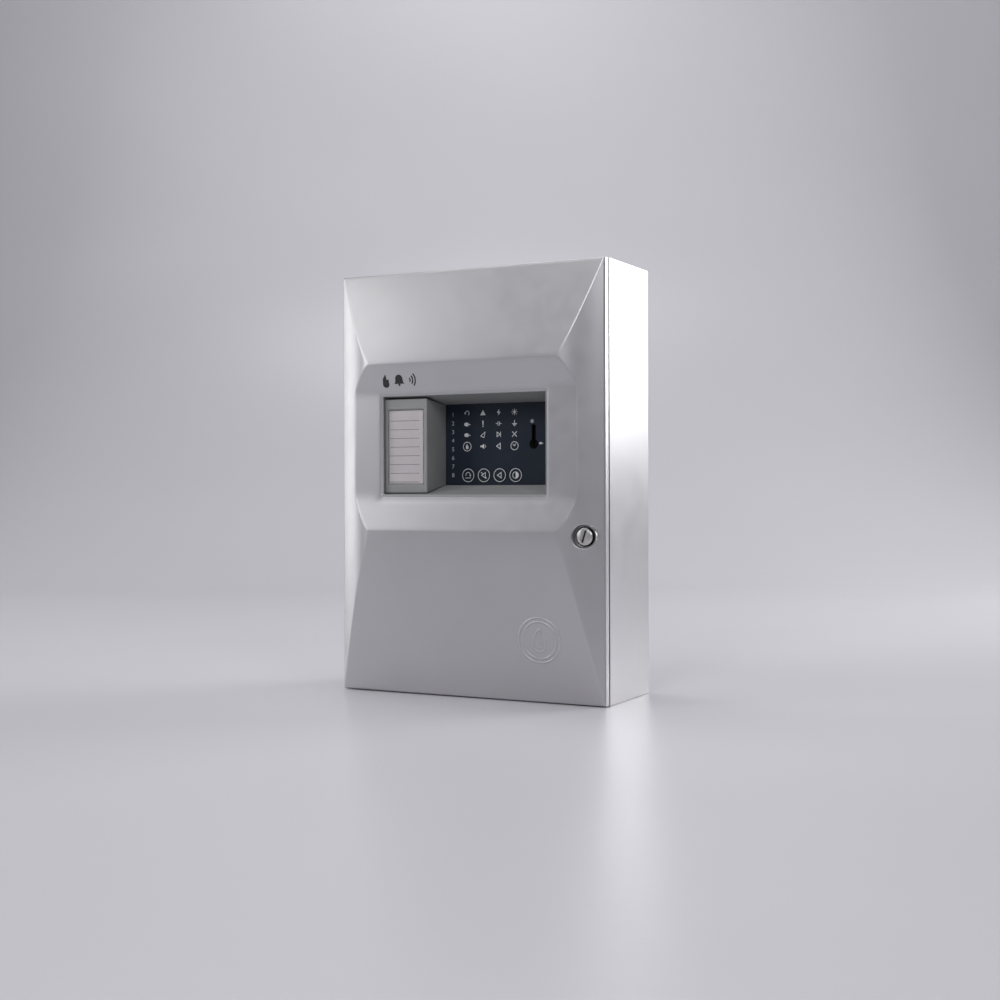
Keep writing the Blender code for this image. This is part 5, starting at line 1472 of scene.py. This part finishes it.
def make_capacitors():
    """The large smoothing capacitor and five small ones, with sleeves and bare metal tops."""
    cans, sleeves, body, vent = (bmesh.new() for _ in range(4))
    tall = 0.0110
    sleeve = stepped(BOARD_Y, -1, (0, 0.0040), (0.0010, 0.0040), (0.0015, 0.0037), (0.0020, 0.0040))
    sleeve += stepped(BOARD_Y - tall, 1, (0.0003, 0.0040), (0, 0.0037))
    for x, z in CANS_AT:
        add_turned(sleeves, (x, 0, z), "Y", sleeve, 28)
        add_turned(cans, (x, 0, z), "Y", stepped(BOARD_Y - tall, 1, (0.0001, 0.0034), (-0.0001, 0.0034)), 28)
    low, high, centre = box_of("smoothing_capacitor")
    radius = (high.x - low.x) / 2
    profile = stepped(high.y, -1, (0, radius - 0.0004), (0.0006, radius), (0.0020, radius))
    profile += stepped(high.y, -1, (0.0030, radius - 0.0006), (0.0040, radius))
    profile += stepped(low.y, 1, (0.0006, radius), (0.0002, radius - 0.0002), (0.0001, radius - 0.0007))
    add_turned(body, centre, "Y", profile, 48)
    finish("capacitor_sleeve", body, "black_plastic", "cabinet", "smoothing_capacitor")
    lid = stepped(low.y, 1, (0.0003, radius - 0.0010), (0.00002, radius - 0.0012))
    add_turned(cans, centre, "Y", lid, 48)
    finish("capacitor_sleeves", sleeves, "black_plastic", "cabinet")
    finish("capacitor_tops", cans, "aluminium", "cabinet")
    # The vent's scored cross is drawn as grey lines on the top: painted shade standing in for the grooves.
    reach = radius * 0.6 * math.cos(math.pi / 4)
    for side in ENDS:
        cut = put([(-reach, reach * side), (reach, -reach * side)], (centre.x, centre.z))
        add_stroke(vent, cut, 0.0005, y=low.y - 0.00001)
    finish("capacitor_vent_shade", vent, "aluminium", "cabinet", material=GREY_INK)


def make_small_parts():
    """Surge discs, indicator lamps and the crystal."""
    discs, lamps, crystal = bmesh.new(), bmesh.new(), bmesh.new()
    lamp = stepped(BOARD_Y, -1, (0, 0.0016), (0.0006, 0.0016), (0.0007, 0.0013), (0.0037, 0.0013))
    lamp += stepped(BOARD_Y, -1, (0.0044, 0.0011), (0.0049, 0.0006), (0.0050, 0.0001))
    half_disc = ((0.0014, 0.0018), (0.0011, 0.0030), (0.0005, 0.0035))
    for i in range(8):
        x = -0.107 + i * 0.010
        disc = stepped(x, -1, *half_disc) + stepped(x, 1, *reversed(half_disc))
        add_turned(discs, (x, BOARD_Y - 0.0046, 0.3610), "X", disc, 24)
        add_turned(lamps, (-0.012 + i * 0.0062, 0, 0.3360), "Y", lamp, 20)
    finish("surge_discs", discs, "black_insulation", "cabinet", material=BLUE_DISC)
    finish("board_lamps", lamps, "red_insulation", "cabinet", material=RED_LENS)
    profile = soft_ends(BOARD_Y, BOARD_Y - 0.0034, 0.0004)
    add_slab(crystal, (-0.0365, 0, 0.2790), (-0.0255, 0, 0.2835), 1, 0.0021, profile)
    finish("crystal_can", crystal, "aluminium", "cabinet")


def make_choke():
    """A ring choke: a torus that swells at each of its turns."""
    bm = bmesh.new()
    turns, steps, sides, major, minor = 26, 6, 8, 0.0072, 0.0030
    centre = Vector((0.0500, BOARD_Y - minor - 0.0004, 0.3150))
    loops = []
    for i in range(turns * steps):
        angle = 2 * math.pi * i / (turns * steps)
        swell = minor * (0.90 + 0.10 * math.cos(turns * angle))
        loop_points = []
        for k in range(sides):
            around = 2 * math.pi * k / sides
            reach = major + swell * math.cos(around)
            offset = Vector((reach * math.cos(angle), swell * math.sin(around), reach * math.sin(angle)))
            loop_points.append(centre + offset)
        loops.append(loop_points)
    add_loops(bm, loops, closed=True)
    finish("board_choke", bm, "winding", "cabinet", angle=70)


def make_heatsink():
    """The finned heatsink and the regulator that is screwed to it."""
    soften("heatsink", "cabinet", "aluminium", 0.0003, 2)
    low, _, centre = box_of("heatsink")
    body, tab, leads = bmesh.new(), bmesh.new(), bmesh.new()
    x, z, y = low.x - 0.0003, centre.z, BOARD_Y
    add_block(tab, (x - 0.0013, x), (y - 0.0165, y - 0.0040), about(z, 0.0050), 0.0002, 1)
    add_block(body, (x - 0.0045, x - 0.0004), (y - 0.0115, y - 0.0030), about(z, 0.0049), 0.0003, 2)
    screw = stepped(x, -1, (0.0013, 0.0026), (0.0028, 0.0026), (0.0031, 0.0022))
    add_turned(tab, (0, y - 0.0142, z), "X", screw, 24)
    for offset in (-0.0025, 0.0, 0.0025):
        add_block(leads, (x - 0.0024, x - 0.0018), (y - 0.0031, y), about(z + offset, 0.0004))
    finish("regulator_case", body, "black_plastic", "cabinet")
    finish("regulator_tab", tab, "zinc_steel", "cabinet")
    finish("regulator_leads", leads, "zinc_steel", "cabinet")


# The ribbon cable and its connectors.


RIBBON_WAYS = 16
RIBBON_HALF = 0.0005
STEPS_PER_WAY = 4


def ribbon_route():
    """The cable's path in the XY plane, with a fold behind the display on its way to the header."""
    _, plug_high, plug = box_of("ribbon_plug")
    header_low, _, header = box_of("ribbon_header")
    y = plug_high.y + GAP
    end = header_low.y - GAP
    bends = [
        (0.0, plug.x),
        (0.0050, -0.0630),
        (0.0065, -0.0500),
        (0.0065, -0.0200),
        (0.0070, -0.0020),
        (0.0110, 0.0040),
        (0.0150, -0.0020),
        (0.0158, -0.0200),
        (0.0160, -0.0600),
        (0.0162, -0.0900),
        (0.0185, -0.1010),
    ]
    points = [(x, y + depth) for depth, x in bends]
    return smooth_route([*points, (header.x, end - 0.0060), (header.x, end)], 8)


def make_ribbon():
    """The ribbed flat cable, laid along its bent route between the cabinet and the door."""
    low, high = [corner.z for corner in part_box("ribbon_cable")]
    section = []
    for k in range(RIBBON_WAYS * STEPS_PER_WAY + 1):
        swell = abs(math.sin(math.pi * k / STEPS_PER_WAY))
        level = low + (high - low) * k / (RIBBON_WAYS * STEPS_PER_WAY)
        section.append((level, RIBBON_HALF * (0.45 + 0.55 * swell)))
    route = ribbon_route()
    loops = []
    for i, point in enumerate(route):
        along = route[min(i + 1, len(route) - 1)] - route[max(i - 1, 0)]
        across = Vector((-along.y, along.x)).normalized()
        front = [Vector((*(point + across * half), z)) for z, half in section]
        back = [Vector((*(point - across * half), z)) for z, half in reversed(section)]
        loops.append(front + back)
    bm = bmesh.new()
    add_loops(bm, loops, cap_start=True, cap_end=True)
    ribbon = from_bmesh("flat_cable", bm, MATERIALS["ribbon_grey"], 75)
    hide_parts("ribbon_cable")
    level = (low + high) / 2
    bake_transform(ribbon)


def make_connectors():
    """The cable's plug and the header it comes from, each a stepped block with two latches."""
    for node, body, facing in (("ribbon_plug", "door", 1), ("ribbon_header", "cabinet", -1)):
        low, high, centre = box_of(node)
        near, far = (low.y, high.y) if facing > 0 else (high.y, low.y)
        waist = near + (far - near) * 0.55
        bm = bmesh.new()
        add_slab(bm, low, high, 1, 0.0005, soft_ends(near, waist - facing * 0.0003, 0.0003))
        inset = Vector((0.0007, 0, 0.0010))
        profile = soft_ends(waist - facing * 0.0004, far, 0.0003)
        add_slab(bm, low + inset, high - inset, 1, 0.0004, profile)
        y_span = (near + facing * 0.001, far - facing * 0.0006)
        for z in (low.z + 0.0008, high.z - 0.0008):
            add_block(bm, about(centre.x, 0.0015), y_span, about(z, 0.0007), 0.0002, 1)
        finish(f"{node}_body", bm, "black_plastic", body, node)


# The supply.


def add_sleeve(bm, low, high, hole, start, end, corner, soft):
    """An upright block with round corners and a hole right through it."""
    levels = ((start, soft), (start + soft, 0), (end - soft, 0), (end, soft))
    loops = [round_loop(low, high, 2, z, corner, inset) for z, inset in levels]
    loops += [round_loop(*hole, 2, z, 0.0003) for z in (end, start)]
    add_loops(bm, loops, closed=True)


def make_supply():
    """The transformer: its laminated core, its taped coil on a flanged bobbin, its tags and its screws."""
    soften("transformer_core", "cabinet", "laminations", 0.0005, 2)
    low, high, centre = box_of("transformer_coil")
    core_low, core_high, core = box_of("transformer_core")
    coil, bobbin, tags, screws = (bmesh.new() for _ in range(4))
    flange, leg, yoke = 0.0012, 0.0098, 0.0084
    hole = (Vector((centre.x - leg, low.y + yoke, 0)), Vector((centre.x + leg, high.y - yoke, 0)))
    inset = Vector((0.0006, 0.0008, 0))
    add_sleeve(coil, low + inset, high - inset, hole, low.z + flange, high.z - flange, 0.0040, 0.0005)
    for z in (low.z, high.z - flange):
        add_sleeve(bobbin, low, high, hole, z + 0.00005, z + flange - 0.00005, 0.0012, 0.0002)
    for i in range(5):
        x_span = about(centre.x + (i - 2) * 0.0065, 0.0010)
        for z in (low.z + 0.0003, high.z - 0.0009):
            add_block(tags, x_span, (low.y - 0.0022, low.y + 0.0010), (z, z + 0.0006), 0.0001, 1)
    finish("coil_tape", coil, "winding", "cabinet", "transformer_coil")
    finish("coil_bobbin", bobbin, "black_plastic", "cabinet")
    finish("coil_tags", tags, "zinc_steel", "cabinet")
    for x in (core_low.x + 0.0035, core_high.x - 0.0035):
        add_pan_head(screws, x, core_high.y - 0.0014, core.z, 0.0024, 0.0017, -1)
    finish("transformer_screws", screws, "zinc_steel", "cabinet")


def add_clip(bm, x, y, z):
    """A spring clip round a fuse's cap, open at its front."""
    radius = 0.0030
    outline = arc((z, y), radius, -215, 35, 12) + arc((z, y), radius * 0.88, 35, -215, 12)
    loops = [[Vector((along, b, a)) for a, b in outline] for along in about(x, 0.0018)]
    add_loops(bm, loops, cap_start=True, cap_end=True)


def make_fuse():
    """A glass fuse in two spring clips on a base."""
    low, high, centre = box_of("fuse_holder")
    base, metal, glass = bmesh.new(), bmesh.new(), bmesh.new()
    base_front, axis_y, z = high.y - 0.006, high.y - 0.0105, centre.z
    add_slab(base, low, high, 1, 0.0008, soft_ends(high.y, base_front, 0.0004))
    for x in (low.x + 0.005, high.x - 0.005):
        add_clip(metal, x, axis_y, z)
        y_span = (axis_y + 0.0024, base_front + 0.0002)
        add_block(metal, about(x, 0.0018), y_span, about(z, 0.0012), 0.0002, 1)
    start, end, cap = low.x + 0.0025, high.x - 0.0025, 0.0062
    axis = (0, axis_y, z)
    for a, b in ((start, start + cap), (end - cap, end)):
        ends = [(a, 0.0024), (a + 0.0002, 0.0026), (b - 0.0002, 0.0026), (b, 0.0024)]
        add_turned(metal, axis, "X", ends, 24)
    inside = (start + cap - 0.0005, end - cap + 0.0005)
    add_turned(glass, axis, "X", [(along, 0.0023) for along in inside], 24)
    add_turned(metal, axis, "X", [(along, 0.0002) for along in inside], 8)
    finish("fuse_base", base, "grey_plastic", "cabinet", "fuse_holder")
    finish("fuse_metal", metal, "zinc_steel", "cabinet")
    finish("fuse_glass", glass, "clear_plastic", "cabinet")


def make_earth_stud():
    """A threaded stud with its washer and its nut."""
    low, high, centre = box_of("earth_stud")
    pitch = 0.0008
    profile = [(high.y, 0.0023), (low.y + 0.0100, 0.0023)]
    for i in range(11):
        y = low.y + 0.0098 - i * pitch
        profile += [(y, 0.0025), (y - pitch / 2, 0.0021)]
    washer = stepped(high.y, -1, (0.0001, 0.0060), (0.0011, 0.0060), (0.0013, 0.0057))
    nut = stepped(high.y, -1, (0.0013, 0.0046), (0.0016, 0.0050), (0.0056, 0.0050), (0.0060, 0.0045))
    bm = bmesh.new()
    for part, sides in (([*profile, (low.y, 0.0018)], 24), (washer, 32), (nut, 6)):
        add_turned(bm, centre, "Y", part, sides)
    finish("earth_fixing", bm, "zinc_steel", "cabinet", "earth_stud")


SPADE_HEIGHT = 0.006
LID_SEAM = 0.013


def battery_profile(low_z, top):
    """A battery's case from its foot to its top, with the seam of its lid."""
    foot = stepped(low_z, 1, (0, 0.0016), (0.0005, 0.0005), (0.0016, 0))
    seam = stepped(top - LID_SEAM, 1, (-0.0007, 0), (-0.0003, 0.0005), (0.0003, 0.0005), (0.0007, 0))
    return foot + seam + stepped(top, -1, (0.0014, 0), (0.0004, 0.0005), (0, 0.0016))


def add_post(bm, x_span, y_span, corner, profile):
    """An upright block with round corners over two spans."""
    low, high = [(x, y, 0) for x, y in zip(x_span, y_span)]
    add_slab(bm, low, high, 2, corner, profile)


def add_terminal(boots, spades, x, y, top, tip):
    """A battery's spade terminal in its coloured base, with the lead's boot over it."""
    add_post(boots, about(x, 0.0032), about(y, 0.0052), 0.0008, soft_ends(top - 0.0002, top + 0.0012, 0.0003))
    add_block(spades, about(x, 0.0004), about(y, 0.0032), (top, tip), 0.00015, 1)
    profile = stepped(top, 1, (0.0018, 0.0003), (0.0021, 0))
    profile += stepped(tip, 1, (0.0006, 0), (0.0030, 0.0004), (0.0034, 0.0008))
    add_post(boots, about(x, 0.0013), about(y, 0.0040), 0.0012, profile)


def make_batteries():
    """The two batteries with their lids, ribs and terminals."""
    spades, red, black, lids = (bmesh.new() for _ in range(4))
    for node in ("battery_left", "battery_right"):
        low, high, centre = box_of(node)
        top = high.z - SPADE_HEIGHT
        bm = bmesh.new()
        add_slab(bm, low, high, 2, 0.0030, battery_profile(low.z, top))
        finish(f"{node}_case", bm, "battery_case", "cabinet", node)
        lid = soft_ends(top - 0.0002, top + 0.0005, 0.0002)
        add_post(lids, about(centre.x, 0.028), (low.y + 0.022, low.y + 0.042), 0.0015, lid)
        for i in range(4):
            x_span = about(low.x + 0.0090 + i * (high.x - low.x - 0.018) / 3, 0.0010)
            z_span = (low.z + 0.006, top - LID_SEAM - 0.004)
            add_block(lids, x_span, (low.y - 0.00002, low.y + 0.0006), z_span, 0.0003, 2)
        add_terminal(black, spades, low.x + 0.012, high.y - 0.010, top, high.z)
        add_terminal(red, spades, high.x - 0.012, high.y - 0.010, top, high.z)
    finish("battery_lids", lids, "battery_case", "cabinet")
    finish("battery_spades", spades, "zinc_steel", "cabinet")
    finish("red_boots", red, "red_insulation", "cabinet")
    finish("black_boots", black, "black_insulation", "cabinet")


def make_battery_fixings():
    """The strap over the batteries, its screws, and the three leads."""
    soften("battery_strap", "cabinet", "zinc_steel", 0.0004, 2)
    low, high, centre = box_of("battery_strap")
    screws = bmesh.new()
    for x in (low.x + 0.006, high.x - 0.006):
        add_pan_head(screws, x, high.y - 0.0012, centre.z, 0.0036, 0.0024, -1)
    finish("strap_screws", screws, "zinc_steel", "cabinet")
    smooth_copy("battery_link_lead", "cabinet", "black_insulation")
    smooth_copy("battery_lead_negative", "cabinet", "black_insulation")
    smooth_copy("battery_lead_positive", "cabinet", "red_insulation")


# The display board's rear, the hinges and the small pieces.


def display_joints():
    """Where the wires of the display's lamps and of its four switches come through the board."""
    spots = []
    for z in ROWS_Z:
        for x in COLUMNS_X:
            spots += [(x + side * 0.00127, z + 0.0045) for side in ENDS]
    for node in numbered("tact_switch"):
        low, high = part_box(node)
        levels = (low.z + 0.0008, high.z - 0.0008)
        spots += [(x, z) for x in (low.x + 0.0002, high.x - 0.0002) for z in levels]
    return spots


def make_display_board():
    """The display board, and on its rear the chips, the small parts, the joints and the screws."""
    panel, chips, leads, dark, caps, joints, screws = (bmesh.new() for _ in range(7))
    add_slab(panel, DISPLAY_LOW, DISPLAY_HIGH, 1, 0.0012, soft_ends(DISPLAY_LOW.y, DISPLAY_HIGH.y, 0.0001))
    finish("display_panel", panel, "circuit_board", "door", "display_board")
    rear = DISPLAY_HIGH.y
    for at in ((-0.034, 0.256), (-0.012, 0.256), (0.012, 0.256), (0.034, 0.256), (0.000, 0.222)):
        add_chip(chips, leads, at, CHIP_SIZE, rear, 1, 8)
    for i in range(22):
        for z in (0.2455, 0.2310):
            add_passive(dark, caps, -0.046 + i * 0.0042, z, rear, 1, True)
    for x, z in display_joints():
        add_joint(joints, x, z, rear)
    for x, z in DISPLAY_SCREWS:
        add_pan_head(screws, x, rear, z, 0.0026, 0.0017, 1)
    finish("display_chips", chips, "black_plastic", "door")
    finish("display_leads", leads, "zinc_steel", "door")
    finish("display_resistors", dark, "black_plastic", "door")
    finish("display_solder", caps, "zinc_steel", "door")
    finish("display_joints", joints, "zinc_steel", "door")
    finish("display_screws", screws, "zinc_steel", "door")


def make_buzzer():
    """The buzzer's round case with its sound hole, and the four switches beside it."""
    low, high, centre = box_of("buzzer")
    radius = (high.x - low.x) / 2
    profile = stepped(low.y, 1, (0, radius - 0.0003), (0.0003, radius))
    profile += stepped(high.y, -1, (0.0008, radius), (0.0003, radius - 0.0002), (0, radius - 0.0008))
    profile += stepped(high.y, -1, (0, 0.0016), (0.0003, 0.0013), (0.0015, 0.0013))
    bm = bmesh.new()
    add_turned(bm, centre, "Y", profile, 48)
    finish("buzzer_case", bm, "black_plastic", "door", "buzzer")
    for node in numbered("tact_switch"):
        soften(node, "door", "black_plastic", 0.0003, 2)


def make_hinges():
    """The hinge brackets with their pins and rivets, and the strike that the lock's cam catches."""
    rivets = bmesh.new()
    for end in ("lower", "upper"):
        soften(f"hinge_bracket_{end}", "cabinet", "zinc_steel", 0.0002, 2)
        low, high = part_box(f"hinge_bracket_{end}")
        rivet = stepped(high.y, 1, (0, 0.0012), (0.0004, 0.0010), (0.0006, 0.0005))
        for z in (low.z + 0.0040, high.z - 0.0040):
            add_turned(rivets, (low.x + 0.0032, 0, z), "Y", rivet, 16)
        low, high, centre = box_of(f"hinge_pin_{end}")
        radius = (high.x - low.x) / 2
        profile = stepped(low.z, 1, (0, radius - 0.0003), (0.0004, radius))
        profile += stepped(high.z, -1, (0.0004, radius), (0, radius - 0.0003))
        bm = bmesh.new()
        add_turned(bm, centre, "Z", profile, 24)
        finish(f"pin_{end}", bm, "zinc_steel", "door", f"hinge_pin_{end}")
    soften("lock_strike", "cabinet", "zinc_steel", 0.0003, 2)
    low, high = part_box("lock_strike")
    rivet = stepped(high.x, -1, (0.0014, 0.0019), (0.0019, 0.0017), (0.0022, 0.0009))
    for z in (low.z + 0.005, high.z - 0.005):
        add_turned(rivets, (0, high.y - 0.0055, z), "X", rivet, 20)
    finish("rivets", rivets, "zinc_steel", "cabinet")


def make_grommets():
    """Rubber grommets with a thin pierced web and a groove for the cabinet's sheet."""
    radius = 0.0100
    web = ((0.0004, 0.0006), (0.00045, 0.0040), (0.0008, 0.0044), (0.0008, 0.0062), (0.0004, 0.0066))
    lip = ((0.0002, 0.0080), (0, 0.0086), (0, 0.0094), (0.0002, 0.0098), (0.0006, radius))
    skirt = ((0.0020, radius), (0.0020, radius + 0.0025), (0, radius + 0.0020), (0, radius - 0.0015))
    under = ((0.0018, radius - 0.0020), (0.0018, 0.0006))
    for index, node in enumerate(numbered("cable_grommet"), 1):
        low, high, centre = box_of(node)
        profile = stepped(high.z, -1, *web, *lip) + stepped(low.z, 1, *skirt) + stepped(high.z, -1, *under)
        bm = bmesh.new()
        add_turned(bm, centre, "Z", profile, 48)
        finish(f"grommet_{index}", bm, "black_plastic", "cabinet", node)


# Printed and pressed marks on the door: plain symbols.


MARKS_Z = 0.2962
EMBLEM_AT = (0.0770, 0.0575)
BEAD_WIDTH = 0.0020
BEAD_HEIGHT = 0.00055


def make_door_print():
    """A flame, a bell and sound waves, printed above the display."""
    bm = bmesh.new()
    add_sign(bm, FLAME, (-0.0800, MARKS_Z - 0.0004), 2.5)
    add_sign(bm, BELL, (-0.0655, MARKS_Z))
    add_sign(bm, WAVES, (-0.0560, MARKS_Z))
    bmesh.ops.subdivide_edges(bm, edges=bm.edges[:], cuts=1)
    for vert in bm.verts:
        vert.co.y = front_y(vert.co.x, vert.co.z) - 0.00006
    finish("door_print", bm, "silver_paint", "door", material=BLACK_INK)


def add_bead(bm, points, width, height):
    """A low rounded ridge that follows the door's surface along a closed line."""
    steps, count = 6, len(points)
    rings = []
    for i in range(count):
        along = (Vector(points[(i + 1) % count]) - Vector(points[i - 1])).normalized()
        normal = Vector((-along.y, along.x))
        verts = []
        for k in range(steps + 1):
            angle = math.pi * k / steps
            spot = Vector(points[i]) + normal * (math.cos(angle) * width / 2)
            lift = height * math.sin(angle) - 0.00002
            verts.append(bm.verts.new((spot.x, front_y(spot.x, spot.y) - lift, spot.y)))
        rings.append(verts)
    for first, second in zip(rings, rings[1:] + rings[:1]):
        for k in range(steps):
            bm.faces.new((first[k], first[k + 1], second[k + 1], second[k]))


def make_door_emblem():
    """A pressed ring with a flame in it, the same colour as the door."""
    bm = bmesh.new()
    for radius in (0.0205, 0.0168):
        add_bead(bm, ring(EMBLEM_AT, radius, 80), BEAD_WIDTH, BEAD_HEIGHT)
    base = (EMBLEM_AT[0], EMBLEM_AT[1] - 0.0036)
    sides = [(64, 14), (42, 62), (26, 34), (4, 138), (-46, 78), (-66, 16)]
    flame = arc(base, 0.0066, 205, 335, 14) + put(smooth_route(sides, 5), base, TENTH)
    add_bead(bm, flame, BEAD_WIDTH * 0.8, BEAD_HEIGHT)
    foot = (base[0], base[1] - 0.0010)
    core = arc(foot, 0.0026, 210, 330, 8) + put(smooth_route([(22, 4), (2, 48), (-22, 4)], 4), foot, TENTH)
    add_bead(bm, core, BEAD_WIDTH * 0.6, BEAD_HEIGHT * 0.8)
    finish("door_emblem", bm, "silver_paint", "door", angle=60)


# Floor and light.


def make_floor():
    """A floor that bends up into a backdrop, turned to face the camera."""
    bm = bmesh.new()
    size, depth, bend = 6.0, 2.2, 0.9
    profile = [(-size, 0.0)]
    profile += [(depth - bend + bend * sin, bend - bend * cos) for cos, sin in quarter_turn(16)]
    profile.append((depth, size))
    grid = [[bm.verts.new((x, y, z - 0.0002)) for x in (-size, size)] for y, z in profile]
    for lower, upper in zip(grid, grid[1:]):
        bm.faces.new((lower[0], lower[1], upper[1], upper[0]))
    s = Shader("floor", Specular_IOR_Level=0.5)
    colour = s.ramp(s.noise(0.6, 2), (0.610, 0.605, 0.637), (0.63, 0.625, 0.657))
    floor = from_bmesh("floor", bm, s.done(colour, s.ramp(s.noise(0.4, 2), 0.30, 0.34), None), 60)
    floor.rotation_euler.z = CAMERA_YAW


def make_light(name, at, target, size, power):
    """An area light that faces a target."""
    data = bpy.data.lights.new(name, "AREA")
    data.shape = "RECTANGLE"
    data.size, data.size_y = size
    data.energy = power
    light = bpy.data.objects.new(name, data)
    bpy.context.scene.collection.objects.link(light)
    light.location = at
    aim = Vector(target) - Vector(at)
    light.rotation_euler = aim.to_track_quat("-Z", "Y").to_euler()


def make_lights():
    """Area lights round the object, and a dim cool world."""
    middle = (0, 0, HEIGHT / 2)
    make_light("left_strip", (-2.0, 0.0, 0.55), middle, (0.9, 1.8), 10.5)
    make_light("right_front", (1.7, -1.45, 1.20), middle, (0.5, 0.8), 6.5)
    make_light("right_rear", (1.25, 1.55, 0.78), (0.1, 0, 0.30), (1.1, 0.9), 22)
    make_light("front_left", (-1.15, -1.02, 0.72), middle, (0.6, 1.0), 4.9)
    make_light("front", (0.25, -1.9, 1.25), middle, (0.6, 0.6), 11)
    make_light("above", (-0.8, -1.2, 2.0), middle, (1.4, 0.3), 4)
    make_light("back", (-0.2, 0.3, 2.4), (0.5, 1.9, 0.3), (2.0, 1.0), 25)
    world = bpy.data.worlds.new("world")
    world.use_nodes = True
    background = world.node_tree.nodes["Background"]
    background.inputs["Color"].default_value = (0.90, 0.89, 1.0, 1)
    background.inputs["Strength"].default_value = 0.17
    bpy.context.scene.world = world


make_door()
make_knuckles()
make_tray()
make_label_holder()
make_card()
soften("label_window", "door", "clear_plastic", 0.00015, 2)
make_overlay()
make_buttons()
make_key_switch()
make_lock()
make_cabinet()
make_board()
make_strips()
make_relays()
make_chips()
make_passives()
make_capacitors()
make_small_parts()
make_choke()
make_heatsink()
make_ribbon()
make_connectors()
make_supply()
make_fuse()
make_earth_stud()
make_batteries()
make_battery_fixings()
make_display_board()
make_buzzer()
make_hinges()
make_grommets()
make_door_print()
make_door_emblem()
make_floor()
make_lights()
bpy.context.scene.view_settings.view_transform = "Standard"
